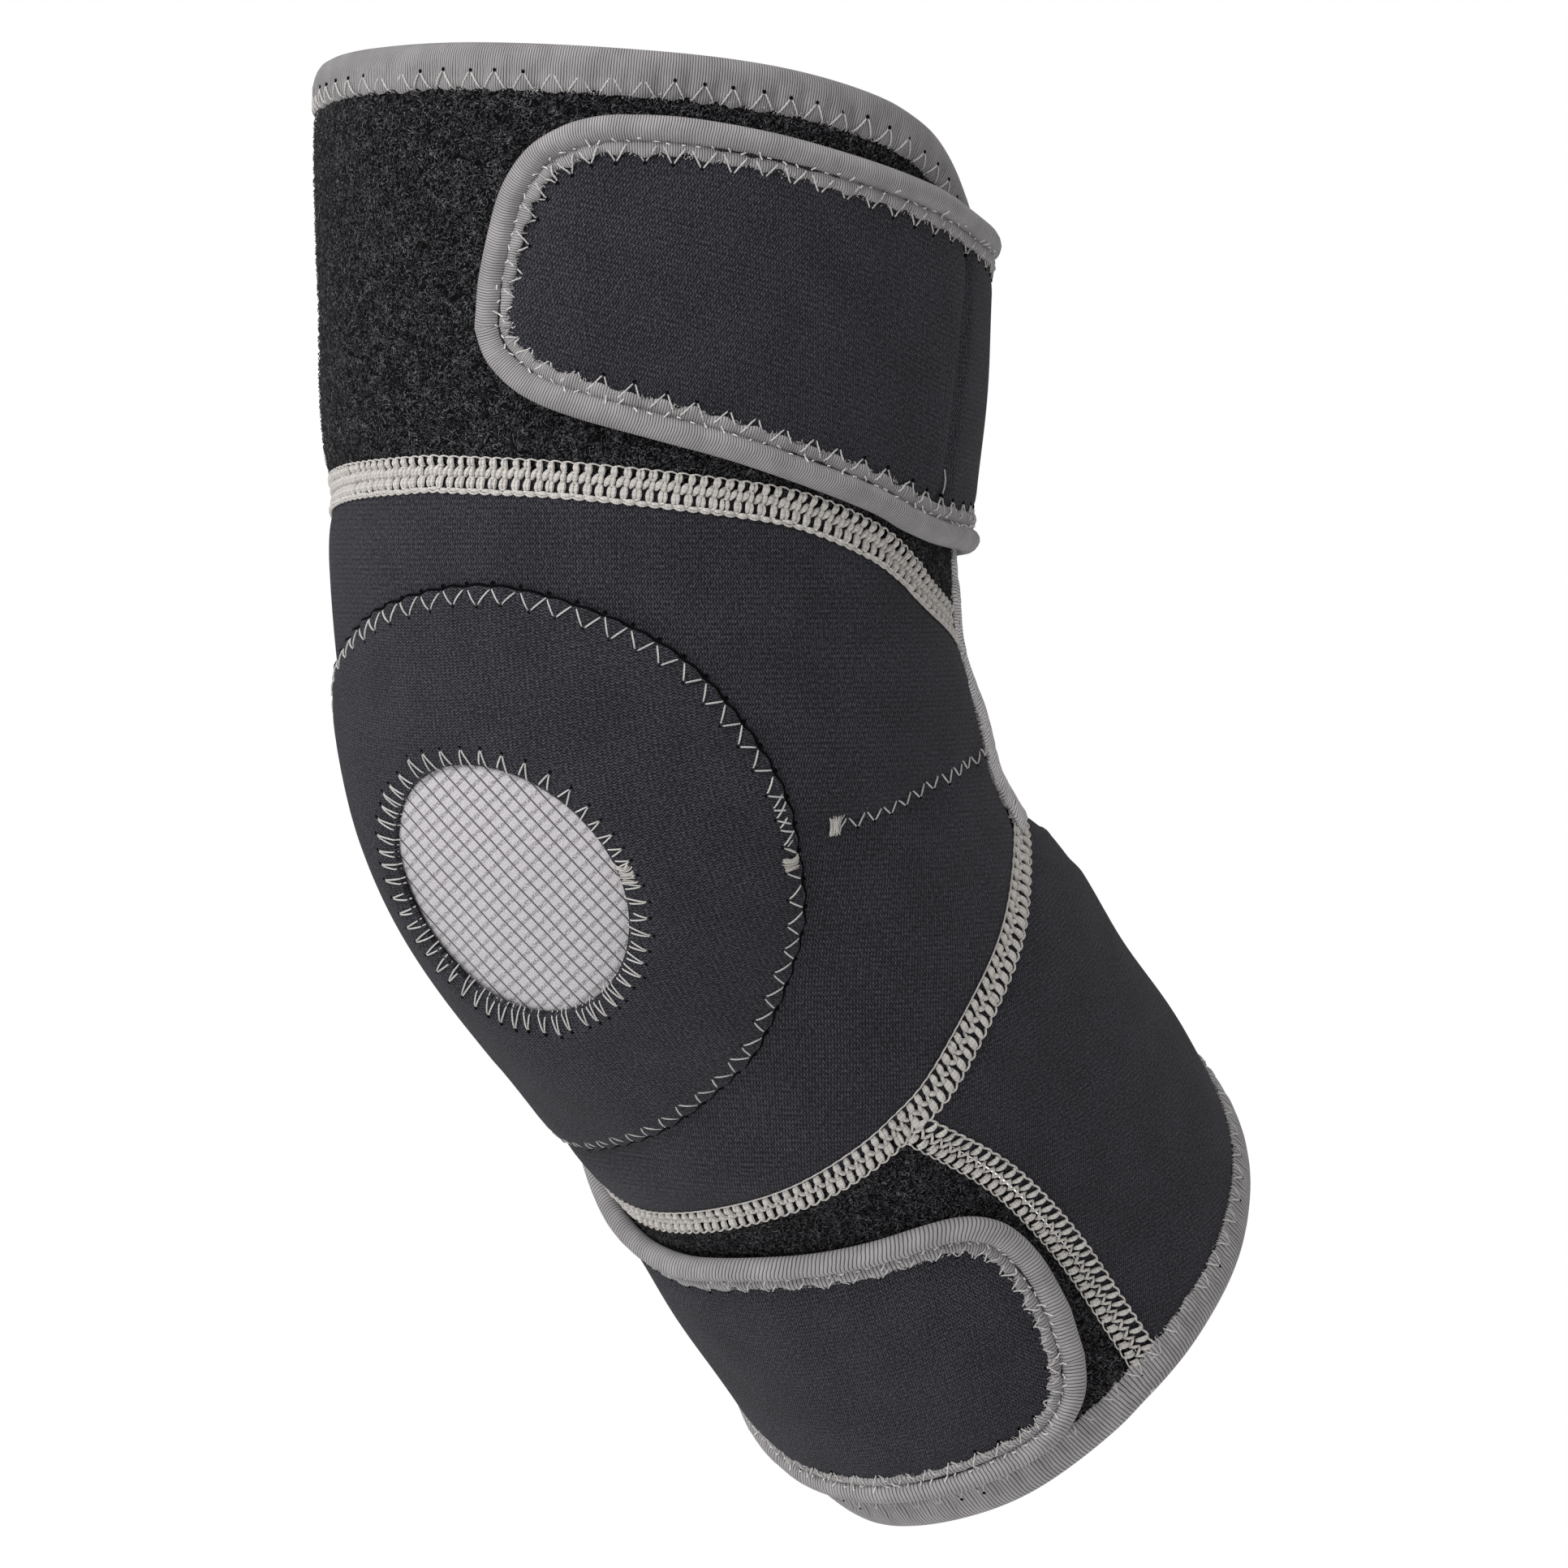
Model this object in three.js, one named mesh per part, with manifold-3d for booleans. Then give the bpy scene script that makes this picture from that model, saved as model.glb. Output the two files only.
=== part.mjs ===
// A wrap-around knee support with an open kneecap ring, in the form that it takes on a bent leg.
// Millimetres. The origin is the middle of the knee, +Z runs up the thigh and -Y faces forward.
// Each place on the cloth is given by two values: around, in degrees from the front of the leg
// towards +X, and along, in millimetres up the leg's centre line from the knee.

import * as THREE from 'three';
import Module from 'manifold-3d';

const wasm = await Module();
wasm.setup();

const { clamp, degToRad, lerp, smoothstep } = THREE.MathUtils;

// The leg that the cloth is wrapped on
const FLEXION = degToRad(42);
const BEND_RADIUS = 95;

// Thickness of the cloths
const NEOPRENE = 2.6;
const PAD = 2.2;
const MESH_CLOTH = 0.8;
const TAPE = 0.6;

// How the pieces lie on each other
const GAP = 0.4;
const SEAM = 0.5;
const TAPE_WIDTH = 7.5;
const STRAP_REST = 2 * GAP + TAPE;
const STRAP_OVER_TAPE = STRAP_REST + TAPE + GAP;

// Spacing of the facets
const COLUMN = 9.5;
const ROW = 14;
const TAB_COLUMNS = 6;

// Round opening for the kneecap, and how far its mesh and the knee panel reach under the pad
const KNEECAP = { around: 8.4, along: -3.9, radius: 28 };
const MESH_LEDGE = 4;
const MESH_DEPTH = 0.4;
const MESH_STEPS = 8;
const PAD_COLUMNS = 42;
const PAD_ROWS = 4;

// Angles around the leg between which a strap changes its height
const UPPER_STRAP_CLIMB = { start: 88, end: 104 };
const UPPER_STRAP_DROP = { start: 146, end: 172 };
const LOWER_STRAP_CLIMB = { start: 238, end: 263 };
const LOWER_STRAP_DROP = { start: 364, end: 380 };

const table = (columns, rows) =>
  rows.map((row) => Object.fromEntries(columns.map((name, i) => [name, row[i]])));

// Half-depths and half-width of the leg, from the shin to the thigh
const SECTIONS = table(['along', 'front', 'back', 'side'], [
  [-170, 57.5, 63, 58.5],
  [-120, 57, 63, 58.5],
  [-86, 56.2, 62, 58.8],
  [-70, 58.2, 60.8, 59.9],
  [-54, 58.3, 59.2, 59.5],
  [-36, 59.6, 58.8, 60.8],
  [0, 65.9, 59.6, 64.2],
  [22, 64.3, 58, 63.9],
  [40, 65.4, 55.6, 64.7],
  [80, 67.5, 60, 66.9],
  [120, 68.2, 64, 67.8],
  [142, 67.2, 66, 67.3],
]);

// Edges of the panels
const EDGE = ['around', 'along'];
const RIM = table(EDGE, [
  [-110, 117], [-86, 127], [-65, 132.5], [-48, 135.4], [-30, 136.3], [-10, 137.1], [12, 136.9],
  [39, 135], [66, 132], [86, 127.2], [99, 121.9], [108, 116.3], [117, 109.9], [126, 105.2], [139, 102],
]);
const LOWER_SEAM = table(EDGE, [
  [-118, -44], [-105, -53], [-90, -61.5], [-70, -71], [-50, -77], [-30, -78.7], [-15, -77.8],
  [0, -75.4], [15, -73.7], [33, -72], [48, -69.7], [62, -66.2], [75, -61.7], [88, -57.1], [102, -52.5],
  [115, -48], [128, -45],
]);
const BRANCH_SEAM = table(EDGE, [
  [70.3, -157], [70.6, -128], [69.4, -111], [66.2, -94], [60.9, -80], [55.8, -68],
]);
const HEM = table(EDGE, [
  [-95, -136], [-70, -138], [-52, -144], [-40, -151.6], [-30, -160], [-20, -166], [-8, -168],
  [5, -167.1], [18, -165.8], [35, -163.5], [48, -161.4], [58, -159.4], [67, -157.4], [84, -156.2],
  [106, -154.2], [120, -151.8], [133, -148.8], [155, -145.4], [180, -144], [210, -144.5], [240, -146],
]);
const CALF_TAPE_START = 152;
const CALF_TOP = table(EDGE, [
  [128, -46], [134, -53], [140, -59], [146, -63.5], [152, -66.5], [161, -69],
  [172, -70.5], [184, -70.2], [197, -67.5], [210, -63.5], [222, -60.4], [232, -60.2], [240, -61],
]);

// The seam above the knee is the same on both sides of its middle
const UPPER_SEAM_MIDDLE = 5;
const UPPER_SEAM = table(['away', 'along'], [
  [0, 54.7], [27, 53.2], [55, 49.8], [67, 47.6], [79.8, 42.8], [93.3, 36.3], [105, 29], [112, 24.6],
  [118, 20], [125, 12],
]);

// Edges beside the hollow of the knee
const LATERAL_EDGE = table(EDGE, [
  [138.2, 91], [134, 52], [130.1, 12], [129.4, -9], [128.8, -28], [128.2, -42],
]);
const MEDIAL_EDGE = table(EDGE, [
  [-118, 35], [-120, 12], [-119.3, -9], [-118.6, -28], [-118.2, -42],
]);

// The straps, from where they are sewn on to the rounded tab
const UPPER_STRAP_TOP = table(EDGE, [
  [249.6, 117], [215, 107], [180, 101.5], [150, 101], [117, 104.5], [96.5, 110.3], [79.5, 115],
  [65.3, 118.7], [52, 121.2], [43, 121.8], [37.5, 121.5], [32.2, 119.8], [26.9, 116], [22.7, 109],
  [20.2, 99.8], [18.5, 91.2],
]);
const UPPER_STRAP_BOTTOM = table(EDGE, [
  [242, 37], [215, 37], [180, 38], [150, 39.5], [110, 41.5], [95.5, 44.2], [85.8, 48.2], [73, 53],
  [59.2, 58.1], [46, 62.3], [33.4, 66.5], [25.2, 70.6], [19.8, 76.5], [17.8, 82.5],
]);
const LOWER_STRAP_TOP = table(EDGE, [
  [240.4, -62], [270, -67], [295, -75.5], [318, -83], [335, -86], [352, -86.4], [366.7, -85.7],
  [380.4, -87.6], [395.3, -89.8], [407.5, -91.9], [415.5, -95.4], [420.7, -102], [422.9, -113],
  [422.3, -126],
]);
const LOWER_STRAP_BOTTOM = table(EDGE, [
  [240.4, -146], [270, -146.5], [300, -149], [330, -152.6], [345, -155], [367, -155.2], [382, -155.2],
  [396, -154.1], [405, -152.6], [411.5, -149.3], [416.3, -144.6], [419.7, -137.4],
]);

// Outline of the ring that is sewn round the kneecap
const PAD_EDGE = table(EDGE, [
  [18, 33.8], [38, 30], [52, 22.9], [61.5, 11], [65, -1], [62.5, -14], [56.5, -23], [44, -32.4],
  [24, -42.6], [-3, -52.3], [-20, -57.2], [-32, -58], [-43, -51], [-49.5, -36], [-52, -18],
  [-51, 0], [-46, 13], [-38, 21], [-27, 26], [-5, 31.7],
]);

// One column of a table at a place in its key column, on a smooth curve through the rows
function read(rows, key, column, at) {
  const last = rows.length - 1;
  let row = 0;
  while (row < last - 1 && at > rows[row + 1][key]) row += 1;
  const slope = (n) => {
    const before = rows[Math.max(n - 1, 0)];
    const after = rows[Math.min(n + 1, last)];
    return (after[column] - before[column]) / (after[key] - before[key]);
  };
  const span = rows[row + 1][key] - rows[row][key];
  const t = clamp((at - rows[row][key]) / span, 0, 1);
  const blend = t * t * (3 - 2 * t);
  const leave = t * (1 - t) * (1 - t) * span * slope(row);
  const arrive = t * t * (1 - t) * span * slope(row + 1);
  return lerp(rows[row][column], rows[row + 1][column], blend) + leave - arrive;
}

// A point of the leg: upright above the knee, round the bend, then straight down the shin
function legPoint(around, along) {
  const angle = degToRad(around);
  const half = Math.cos(angle) > 0 ? 'front' : 'back';
  const depth = read(SECTIONS, 'along', half, along) * Math.cos(angle);
  const halfBend = (BEND_RADIUS * FLEXION) / 2;
  const tilt = clamp(FLEXION / 2 - along / BEND_RADIUS, 0, FLEXION);
  const thigh = Math.max(along - halfBend, 0);
  const shin = Math.min(along + halfBend, 0);
  const bendY = BEND_RADIUS * (Math.cos(FLEXION / 2) - Math.cos(tilt));
  const bendZ = BEND_RADIUS * (Math.sin(FLEXION / 2) - Math.sin(tilt));
  return new THREE.Vector3(
    read(SECTIONS, 'along', 'side', along) * Math.sin(angle),
    bendY - shin * Math.sin(FLEXION) - depth * Math.cos(tilt),
    bendZ + thigh + shin * Math.cos(FLEXION) - depth * Math.sin(tilt),
  );
}

// How far a point moves for one degree around and for one millimetre along
function stretchAt(place) {
  const step = 0.5;
  const around = legPoint(place.x + step, place.y).sub(legPoint(place.x - step, place.y));
  const along = legPoint(place.x, place.y + step).sub(legPoint(place.x, place.y - step));
  return { around, along, size: new THREE.Vector2(around.length(), along.length()) };
}

// A point at a height above the leg
function above(place, height) {
  const { around, along } = stretchAt(place);
  return legPoint(place.x, place.y).addScaledVector(around.cross(along).normalize(), height);
}

// Equal shares of a length at the facets' spacing, and their ends from 0 to 1
const shares = (length, spacing) => Math.max(2, Math.round(Math.abs(length) / spacing));
const ticks = (count) => Array.from({ length: count + 1 }, (_, i) => i / count);

// Places spaced evenly on a curve through table rows
function curve(rows, count) {
  const places = rows.map((row) => new THREE.Vector2(row.around, row.along));
  return new THREE.SplineCurve(places).getSpacedPoints(count);
}

const straight = (from, to, count) => ticks(count).map((t) => from.clone().lerp(to, t));

// Places on an edge that is known at every angle around the leg
function edge(alongAt, from, to, count) {
  const angles = ticks(count).map((t) => lerp(from, to, t));
  return angles.map((around) => new THREE.Vector2(around, alongAt(around)));
}

const edgeAt = (rows) => (around) => read(rows, 'around', 'along', around);
const rim = edgeAt(RIM);
const hem = edgeAt(HEM);
const lowerSeam = edgeAt(LOWER_SEAM);
const calfTop = (around) => edgeAt(around < CALF_TOP[0].around ? LOWER_SEAM : CALF_TOP)(around);
const upperSeam = (around) => read(UPPER_SEAM, 'away', 'along', Math.abs(around - UPPER_SEAM_MIDDLE));

// Grid of places inside four edges: each side's own curve, carried across to the side that faces it
function patch({ bottom, top, left, right }) {
  const columns = bottom.length - 1;
  const rows = left.length - 1;
  return bottom.map((low, i) => left.map((start, j) => {
    const s = i / columns;
    const t = j / rows;
    const upright = low.clone().lerp(top[i], t);
    const across = start.clone().lerp(right[j], s);
    const lowCorner = bottom[0].clone().lerp(bottom[columns], s);
    const highCorner = top[0].clone().lerp(top[columns], s);
    return upright.add(across).sub(lowCorner.lerp(highCorner, t));
  }));
}

// A patch whose two other sides are straight
function ruled(bottom, top, rows) {
  const left = straight(bottom[0], top[0], rows);
  const right = straight(bottom.at(-1), top.at(-1), rows);
  return patch({ bottom, top, left, right });
}

// Closed surface with its faces pointing out
function geometryOf(points, index) {
  const solid = new THREE.BufferGeometry().setFromPoints(points);
  let volume = 0;
  for (let i = 0; i < index.length; i += 3) {
    const [a, b, c] = [points[index[i]], points[index[i + 1]], points[index[i + 2]]];
    volume += a.dot(b.clone().cross(c));
  }
  solid.setIndex(volume > 0 ? index : index.reverse());
  return solid;
}

// Closed sheet of cloth over a grid of places, between two heights above the leg
function sheet(grid, inner, outer, closed = false) {
  const columns = grid.length;
  const rows = grid[0].length;
  const places = grid.flat();
  const points = [outer, inner].flatMap((face) => places.map((place) => above(place, face(place))));
  const out = (i, j) => (i % columns) * rows + j;
  const into = (i, j) => out(i, j) + places.length;
  const index = [];
  const quad = (a, b, c, d) => index.push(a, b, c, a, c, d);
  const last = closed ? columns : columns - 1;
  for (let i = 0; i < last; i += 1) {
    for (let j = 0; j < rows - 1; j += 1) {
      quad(out(i, j), out(i + 1, j), out(i + 1, j + 1), out(i, j + 1));
      quad(into(i, j), into(i, j + 1), into(i + 1, j + 1), into(i + 1, j));
    }
    quad(out(i, 0), into(i, 0), into(i + 1, 0), out(i + 1, 0));
    quad(out(i, rows - 1), out(i + 1, rows - 1), into(i + 1, rows - 1), into(i, rows - 1));
  }
  for (let j = 0; j < rows - 1 && !closed; j += 1) {
    quad(out(0, j), out(0, j + 1), into(0, j + 1), into(0, j));
    quad(out(last, j), into(last, j), into(last, j + 1), out(last, j + 1));
  }
  return geometryOf(points, index);
}

const panel = (grid) => sheet(grid, () => -NEOPRENE, () => 0);

// Folded tape round the cut edge of a cloth, whose inner face lies at a height above the leg.
// The cloth is on the left of the line when it is seen from outside.
function tape(line, innerFace) {
  const reach = TAPE + GAP;
  const shoulder = TAPE / 2 - reach;
  const top = NEOPRENE + reach;
  const underTop = NEOPRENE + GAP;
  const section = [
    [TAPE_WIDTH, top], [shoulder, top], [-reach, NEOPRENE / 2], [shoulder, -reach], [TAPE_WIDTH, -reach],
    [TAPE_WIDTH, -GAP], [-GAP, -GAP], [-GAP, underTop], [TAPE_WIDTH, underTop],
  ].map(([across, height]) => new THREE.Vector2(across, height));
  const points = line.flatMap((place, n) => {
    const { size } = stretchAt(place);
    const before = line[Math.max(n - 1, 0)];
    const after = line[Math.min(n + 1, line.length - 1)];
    const ahead = after.clone().sub(before).multiply(size);
    const inward = new THREE.Vector2(-ahead.y, ahead.x).normalize().divide(size);
    return section.map((corner) => {
      const at = place.clone().addScaledVector(inward, corner.x);
      return above(at, innerFace(at) + corner.y);
    });
  });
  const sides = section.length;
  const index = [];
  for (let n = 0; n < line.length - 1; n += 1) {
    for (let k = 0; k < sides; k += 1) {
      const a = n * sides + k;
      const b = n * sides + ((k + 1) % sides);
      index.push(a, b, b + sides, a, b + sides, a + sides);
    }
  }
  const end = (line.length - 1) * sides;
  for (const [a, b, c] of THREE.ShapeUtils.triangulateShape(section, [])) {
    index.push(a, c, b, end + a, end + b, end + c);
  }
  return geometryOf(points, index);
}

// A circle round the middle of the kneecap, drawn with its real radius on the cloth
const kneecapMiddle = new THREE.Vector2(KNEECAP.around, KNEECAP.along);
const kneecapStretch = stretchAt(kneecapMiddle).size;

function offKneecap(angle, radius) {
  const arm = new THREE.Vector2(Math.cos(angle), Math.sin(angle)).multiplyScalar(radius);
  return arm.divide(kneecapStretch).add(kneecapMiddle);
}

// A square grid pressed into a disc, so that no facet is a sliver
function disc(radius, count) {
  const side = ticks(count).map((t) => 2 * t - 1);
  return side.map((x) => side.map((y) => {
    const pressed = new THREE.Vector2(x * Math.sqrt(1 - (y * y) / 2), y * Math.sqrt(1 - (x * x) / 2));
    return offKneecap(pressed.angle(), pressed.length() * radius);
  }));
}

// A solid with another taken out of it
function cut(whole, plug) {
  const [kept, removed] = [whole, plug].map((geometry) => new wasm.Manifold(new wasm.Mesh({
    numProp: 3,
    vertProperties: geometry.attributes.position.array,
    triVerts: Uint32Array.from(geometry.index.array),
  })));
  const { vertProperties, triVerts } = kept.subtract(removed).getMesh();
  const result = new THREE.BufferGeometry();
  result.setAttribute('position', new THREE.BufferAttribute(vertProperties, 3));
  result.setIndex(new THREE.BufferAttribute(triVerts, 1));
  return result;
}

// Edges that two pieces share, so that their facets lie along each other
const upperReach = UPPER_SEAM.at(-1).away;
const upperColumns = shares(2 * upperReach, COLUMN);
const rimLine = edge(rim, RIM[0].around, RIM.at(-1).around, upperColumns);

// The seam above the knee, moved up or down to one side of it
function aboveKnee(shift) {
  const [medialEnd, lateralEnd] = [UPPER_SEAM_MIDDLE - upperReach, UPPER_SEAM_MIDDLE + upperReach];
  return edge((around) => upperSeam(around) + shift, medialEnd, lateralEnd, upperColumns);
}

const shinRows = shares(BRANCH_SEAM[0].along - BRANCH_SEAM.at(-1).along, ROW);

// The seam between the two lower panels, on one side of it
function branchEdge(side) {
  const shift = new THREE.Vector2((side * SEAM) / 2, 0);
  const line = curve(BRANCH_SEAM, shinRows).map((place) => place.add(shift));
  line[0].y = hem(line[0].x);
  line[shinRows].y = lowerSeam(line[shinRows].x) - SEAM / 2;
  return line;
}

const loopBranch = branchEdge(-1);
const calfBranch = branchEdge(1);
const loopColumns = shares(loopBranch[0].x - HEM[0].around, COLUMN);
const calfColumns = shares(HEM.at(-1).around - calfBranch[0].x, COLUMN);
const loopHem = edge(hem, HEM[0].around, loopBranch[0].x, loopColumns);
const calfHem = edge(hem, calfBranch[0].x, HEM.at(-1).around, calfColumns);
const calfTopLine = edge(
  (around) => calfTop(around) - SEAM / 2, calfBranch[shinRows].x, HEM.at(-1).around, calfColumns,
);

function upperLoopPanel() {
  return panel(ruled(aboveKnee(SEAM / 2), rimLine, shares(RIM[0].along, ROW)));
}

function kneePanel() {
  const [start, end] = [LOWER_SEAM[0].around, LOWER_SEAM.at(-1).around];
  const bottom = edge((around) => lowerSeam(around) + SEAM / 2, start, end, upperColumns);
  const rows = shares(UPPER_SEAM[0].along - lowerSeam(0), ROW);
  const whole = panel(ruled(bottom, aboveKnee(-SEAM / 2), rows));
  const plug = sheet(disc(KNEECAP.radius + MESH_LEDGE, MESH_STEPS), () => -2 * NEOPRENE, () => NEOPRENE);
  return cut(whole, plug);
}

function patellaPad() {
  const outline = curve([...PAD_EDGE, PAD_EDGE[0]], PAD_COLUMNS).slice(0, -1);
  const grid = outline.map((place) => {
    const angle = place.clone().sub(kneecapMiddle).multiply(kneecapStretch).angle();
    return straight(place, offKneecap(angle, KNEECAP.radius), PAD_ROWS);
  });
  return sheet(grid, () => GAP, () => GAP + PAD, true);
}

function patellaMesh() {
  const grid = disc(KNEECAP.radius + MESH_LEDGE - GAP, MESH_STEPS);
  return sheet(grid, () => -MESH_DEPTH - MESH_CLOTH, () => -MESH_DEPTH);
}

function lowerLoopPanel() {
  const [start, end] = [HEM[0].around, loopBranch[shinRows].x];
  const top = edge((around) => lowerSeam(around) - SEAM / 2, start, end, loopColumns);
  const left = straight(loopHem[0], top[0], shinRows);
  return panel(patch({ bottom: loopHem, top, left, right: loopBranch }));
}

function calfPanel() {
  const right = straight(calfHem[calfColumns], calfTopLine[calfColumns], shinRows);
  return panel(patch({ bottom: calfHem, top: calfTopLine, left: calfBranch, right }));
}

const ease = (place, { start, end }) => smoothstep(place.x, start, end);

// Height of the upper strap: on the loop panel, over the bound edge, then down to the leg behind it
function upperStrapLift(place) {
  const overEdge = (STRAP_OVER_TAPE - STRAP_REST) * ease(place, UPPER_STRAP_CLIMB);
  const downBehind = (STRAP_OVER_TAPE + NEOPRENE) * ease(place, UPPER_STRAP_DROP);
  return STRAP_REST + overEdge - downBehind;
}

// Height of the lower strap: on the leg behind the calf, over the hem's tape, then on the loop panel
function lowerStrapLift(place) {
  const upOverEnd = (STRAP_OVER_TAPE + NEOPRENE) * ease(place, LOWER_STRAP_CLIMB);
  const pastHem = (STRAP_OVER_TAPE - STRAP_REST) * ease(place, LOWER_STRAP_DROP);
  return upOverEnd - NEOPRENE - pastHem;
}

// The two edges of a strap, from its root to the middle of its tab's end
function strapEdges(bottom, top) {
  const columns = shares(top[0].around - top.at(-1).around, COLUMN) + TAB_COLUMNS;
  return { bottom: curve(bottom, columns), top: curve(top, columns) };
}

function strap({ bottom, top }, lift) {
  const rows = shares(top[0].y - bottom[0].y, ROW);
  return sheet(ruled(bottom, top, rows), lift, (place) => lift(place) + NEOPRENE);
}

// A line whose ends stop short of what it meets there
function trimmed(line) {
  const share = SEAM / COLUMN;
  const places = [...line];
  places[0] = line[0].clone().lerp(line[1], share);
  places[places.length - 1] = line.at(-1).clone().lerp(line.at(-2), share);
  return places;
}

// Tape on the edge of a panel, and tape that runs from a strap's root, round its tab and back
const edgeTape = (line) => tape(trimmed(line), () => -NEOPRENE);
const strapTape = (out, back, lift) => tape(trimmed([...out, ...back.toReversed()]), lift);
const sideEdge = (rows) => curve(rows, shares(rows[0].along - rows.at(-1).along, COLUMN));

const upperStrap = strapEdges(UPPER_STRAP_BOTTOM, UPPER_STRAP_TOP);
const lowerStrap = strapEdges(LOWER_STRAP_BOTTOM, LOWER_STRAP_TOP);
const behindKnee = calfTopLine.filter((place) => place.x > CALF_TAPE_START);

const cloth = (color, roughness) => new THREE.MeshStandardMaterial({ color, roughness, metalness: 0 });
const charcoalJersey = () => cloth(0x2d2c32, 0.85);
const blackPlush = () => cloth(0x1a1a1c, 0.95);
const greyTape = () => cloth(0x969294, 0.7);
const paleMesh = () => cloth(0xaca8ab, 0.7);

const support = new THREE.Group();

function add(name, geometry, material) {
  const mesh = new THREE.Mesh(geometry, material);
  mesh.name = name;
  support.add(mesh);
}

add('upper_loop_panel', upperLoopPanel(), blackPlush());
add('knee_panel', kneePanel(), charcoalJersey());
add('patella_pad', patellaPad(), charcoalJersey());
add('patella_mesh', patellaMesh(), paleMesh());
add('lower_loop_panel', lowerLoopPanel(), blackPlush());
add('calf_panel', calfPanel(), charcoalJersey());
add('upper_strap', strap(upperStrap, upperStrapLift), charcoalJersey());
add('lower_strap', strap(lowerStrap, lowerStrapLift), charcoalJersey());
add('top_binding', edgeTape(rimLine.toReversed()), greyTape());
add('upper_strap_binding', strapTape(upperStrap.top, upperStrap.bottom, upperStrapLift), greyTape());
add('lateral_binding', edgeTape(sideEdge(LATERAL_EDGE).toReversed()), greyTape());
add('medial_binding', edgeTape(sideEdge(MEDIAL_EDGE)), greyTape());
add('calf_top_binding', edgeTape(behindKnee.toReversed()), greyTape());
add('bottom_binding', edgeTape([...loopHem, ...calfHem]), greyTape());
add('lower_strap_binding', strapTape(lowerStrap.bottom, lowerStrap.top, lowerStrapLift), greyTape());

export default support;
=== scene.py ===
# %% [markdown]
# # A wrap-around knee support
# The support is cut from sheets of neoprene with a cloth face, sewn flat, bound with tape and wrapped
# round a bent leg. The frame holds its plain solids at their real size. This lesson puts finer cloth,
# tape and thread in their places, all worked out on one shape: the surface of the leg.

# %% Load the frame
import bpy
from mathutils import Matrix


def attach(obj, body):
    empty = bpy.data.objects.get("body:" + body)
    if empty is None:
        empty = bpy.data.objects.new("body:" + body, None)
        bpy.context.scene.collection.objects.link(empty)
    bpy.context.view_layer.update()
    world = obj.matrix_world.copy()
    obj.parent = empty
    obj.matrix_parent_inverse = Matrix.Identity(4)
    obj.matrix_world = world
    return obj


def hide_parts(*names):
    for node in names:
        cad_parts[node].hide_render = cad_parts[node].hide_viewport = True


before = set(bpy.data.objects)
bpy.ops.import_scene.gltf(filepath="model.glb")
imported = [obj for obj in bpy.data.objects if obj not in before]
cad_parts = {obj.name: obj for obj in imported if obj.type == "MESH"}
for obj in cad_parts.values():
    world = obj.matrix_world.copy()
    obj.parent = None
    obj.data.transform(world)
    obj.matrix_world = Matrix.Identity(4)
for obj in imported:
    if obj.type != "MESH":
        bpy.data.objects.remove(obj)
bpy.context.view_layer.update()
print("nodes in the frame:", len(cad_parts))

import bpy
import numpy as np
from mathutils import Matrix, Vector
from mathutils.kdtree import KDTree

MM = 0.001
TURN = 2 * np.pi
rng = np.random.default_rng(42)
print("lengths below are millimetres, and objects are in metres")

# %% [markdown]
# ## The camera
# The photograph looks level at the front and one side, from far away, so its lines hardly converge. A
# long lens at 1.3 m gives that. The camera could be dragged into place by eye, but then nobody could say
# where it is. Here the knee's middle is pinned to its pixel, and the rest follows from the scale.

# %% Place the camera
IMAGE_SIDE = 1932
KNEE_PIXEL = (833, 915)
MM_PER_PIXEL = 0.165
DISTANCE = 1300
AZIMUTH, ELEVATION = np.radians((45, 2))
SENSOR = 36

to_camera = Vector((np.sin(AZIMUTH) * np.cos(ELEVATION), -np.cos(AZIMUTH) * np.cos(ELEVATION),
                    np.sin(ELEVATION)))
to_right = Vector((np.cos(AZIMUTH), np.sin(AZIMUTH), 0))
to_top = to_camera.cross(to_right)
aim = (to_right * (IMAGE_SIDE / 2 - KNEE_PIXEL[0]) + to_top * (KNEE_PIXEL[1] - IMAGE_SIDE / 2)) * MM_PER_PIXEL

camera = bpy.data.objects.new("camera", bpy.data.cameras.new("camera"))
camera.data.sensor_width = SENSOR
camera.data.lens = SENSOR * DISTANCE / (IMAGE_SIDE * MM_PER_PIXEL)
camera.matrix_world = Matrix.Translation((aim + to_camera * DISTANCE) * MM) @ Matrix(
    (to_right, to_top, to_camera)).transposed().to_4x4()
bpy.context.scene.collection.objects.link(camera)
bpy.context.scene.camera = camera
print(f"lens {camera.data.lens:.1f} mm")

# %% [markdown]
# ## The leg under the cloth
# Nothing of the leg is built, but every piece lies on it. A place on it has two values: degrees around
# from the front towards +X, and millimetres along the centre line from the knee. The centre line is
# upright in the thigh, turns through an arc and runs straight down the shin. A sculpted mesh with a
# shrinkwrap would also do, but a formula lets each seam say exactly where it runs.

# %% Surface of the leg
FLEXION = np.radians(42)
BEND_RADIUS = 95
HALF_BEND = BEND_RADIUS * FLEXION / 2
FRONT, BACK, SIDE = 1, 2, 3
SECTIONS = np.array([  # along, front, back, side
    (-170, 57.5, 63, 58.5),
    (-120, 57, 63, 58.5),
    (-86, 56.2, 62, 58.8),
    (-70, 58.2, 60.8, 59.9),
    (-54, 58.3, 59.2, 59.5),
    (-36, 59.6, 58.8, 60.8),
    (0, 65.9, 59.6, 64.2),
    (22, 64.3, 58, 63.9),
    (40, 65.4, 55.6, 64.7),
    (80, 67.5, 60, 66.9),
    (120, 68.2, 64, 67.8),
    (142, 67.2, 66, 67.3),
], float)


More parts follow.
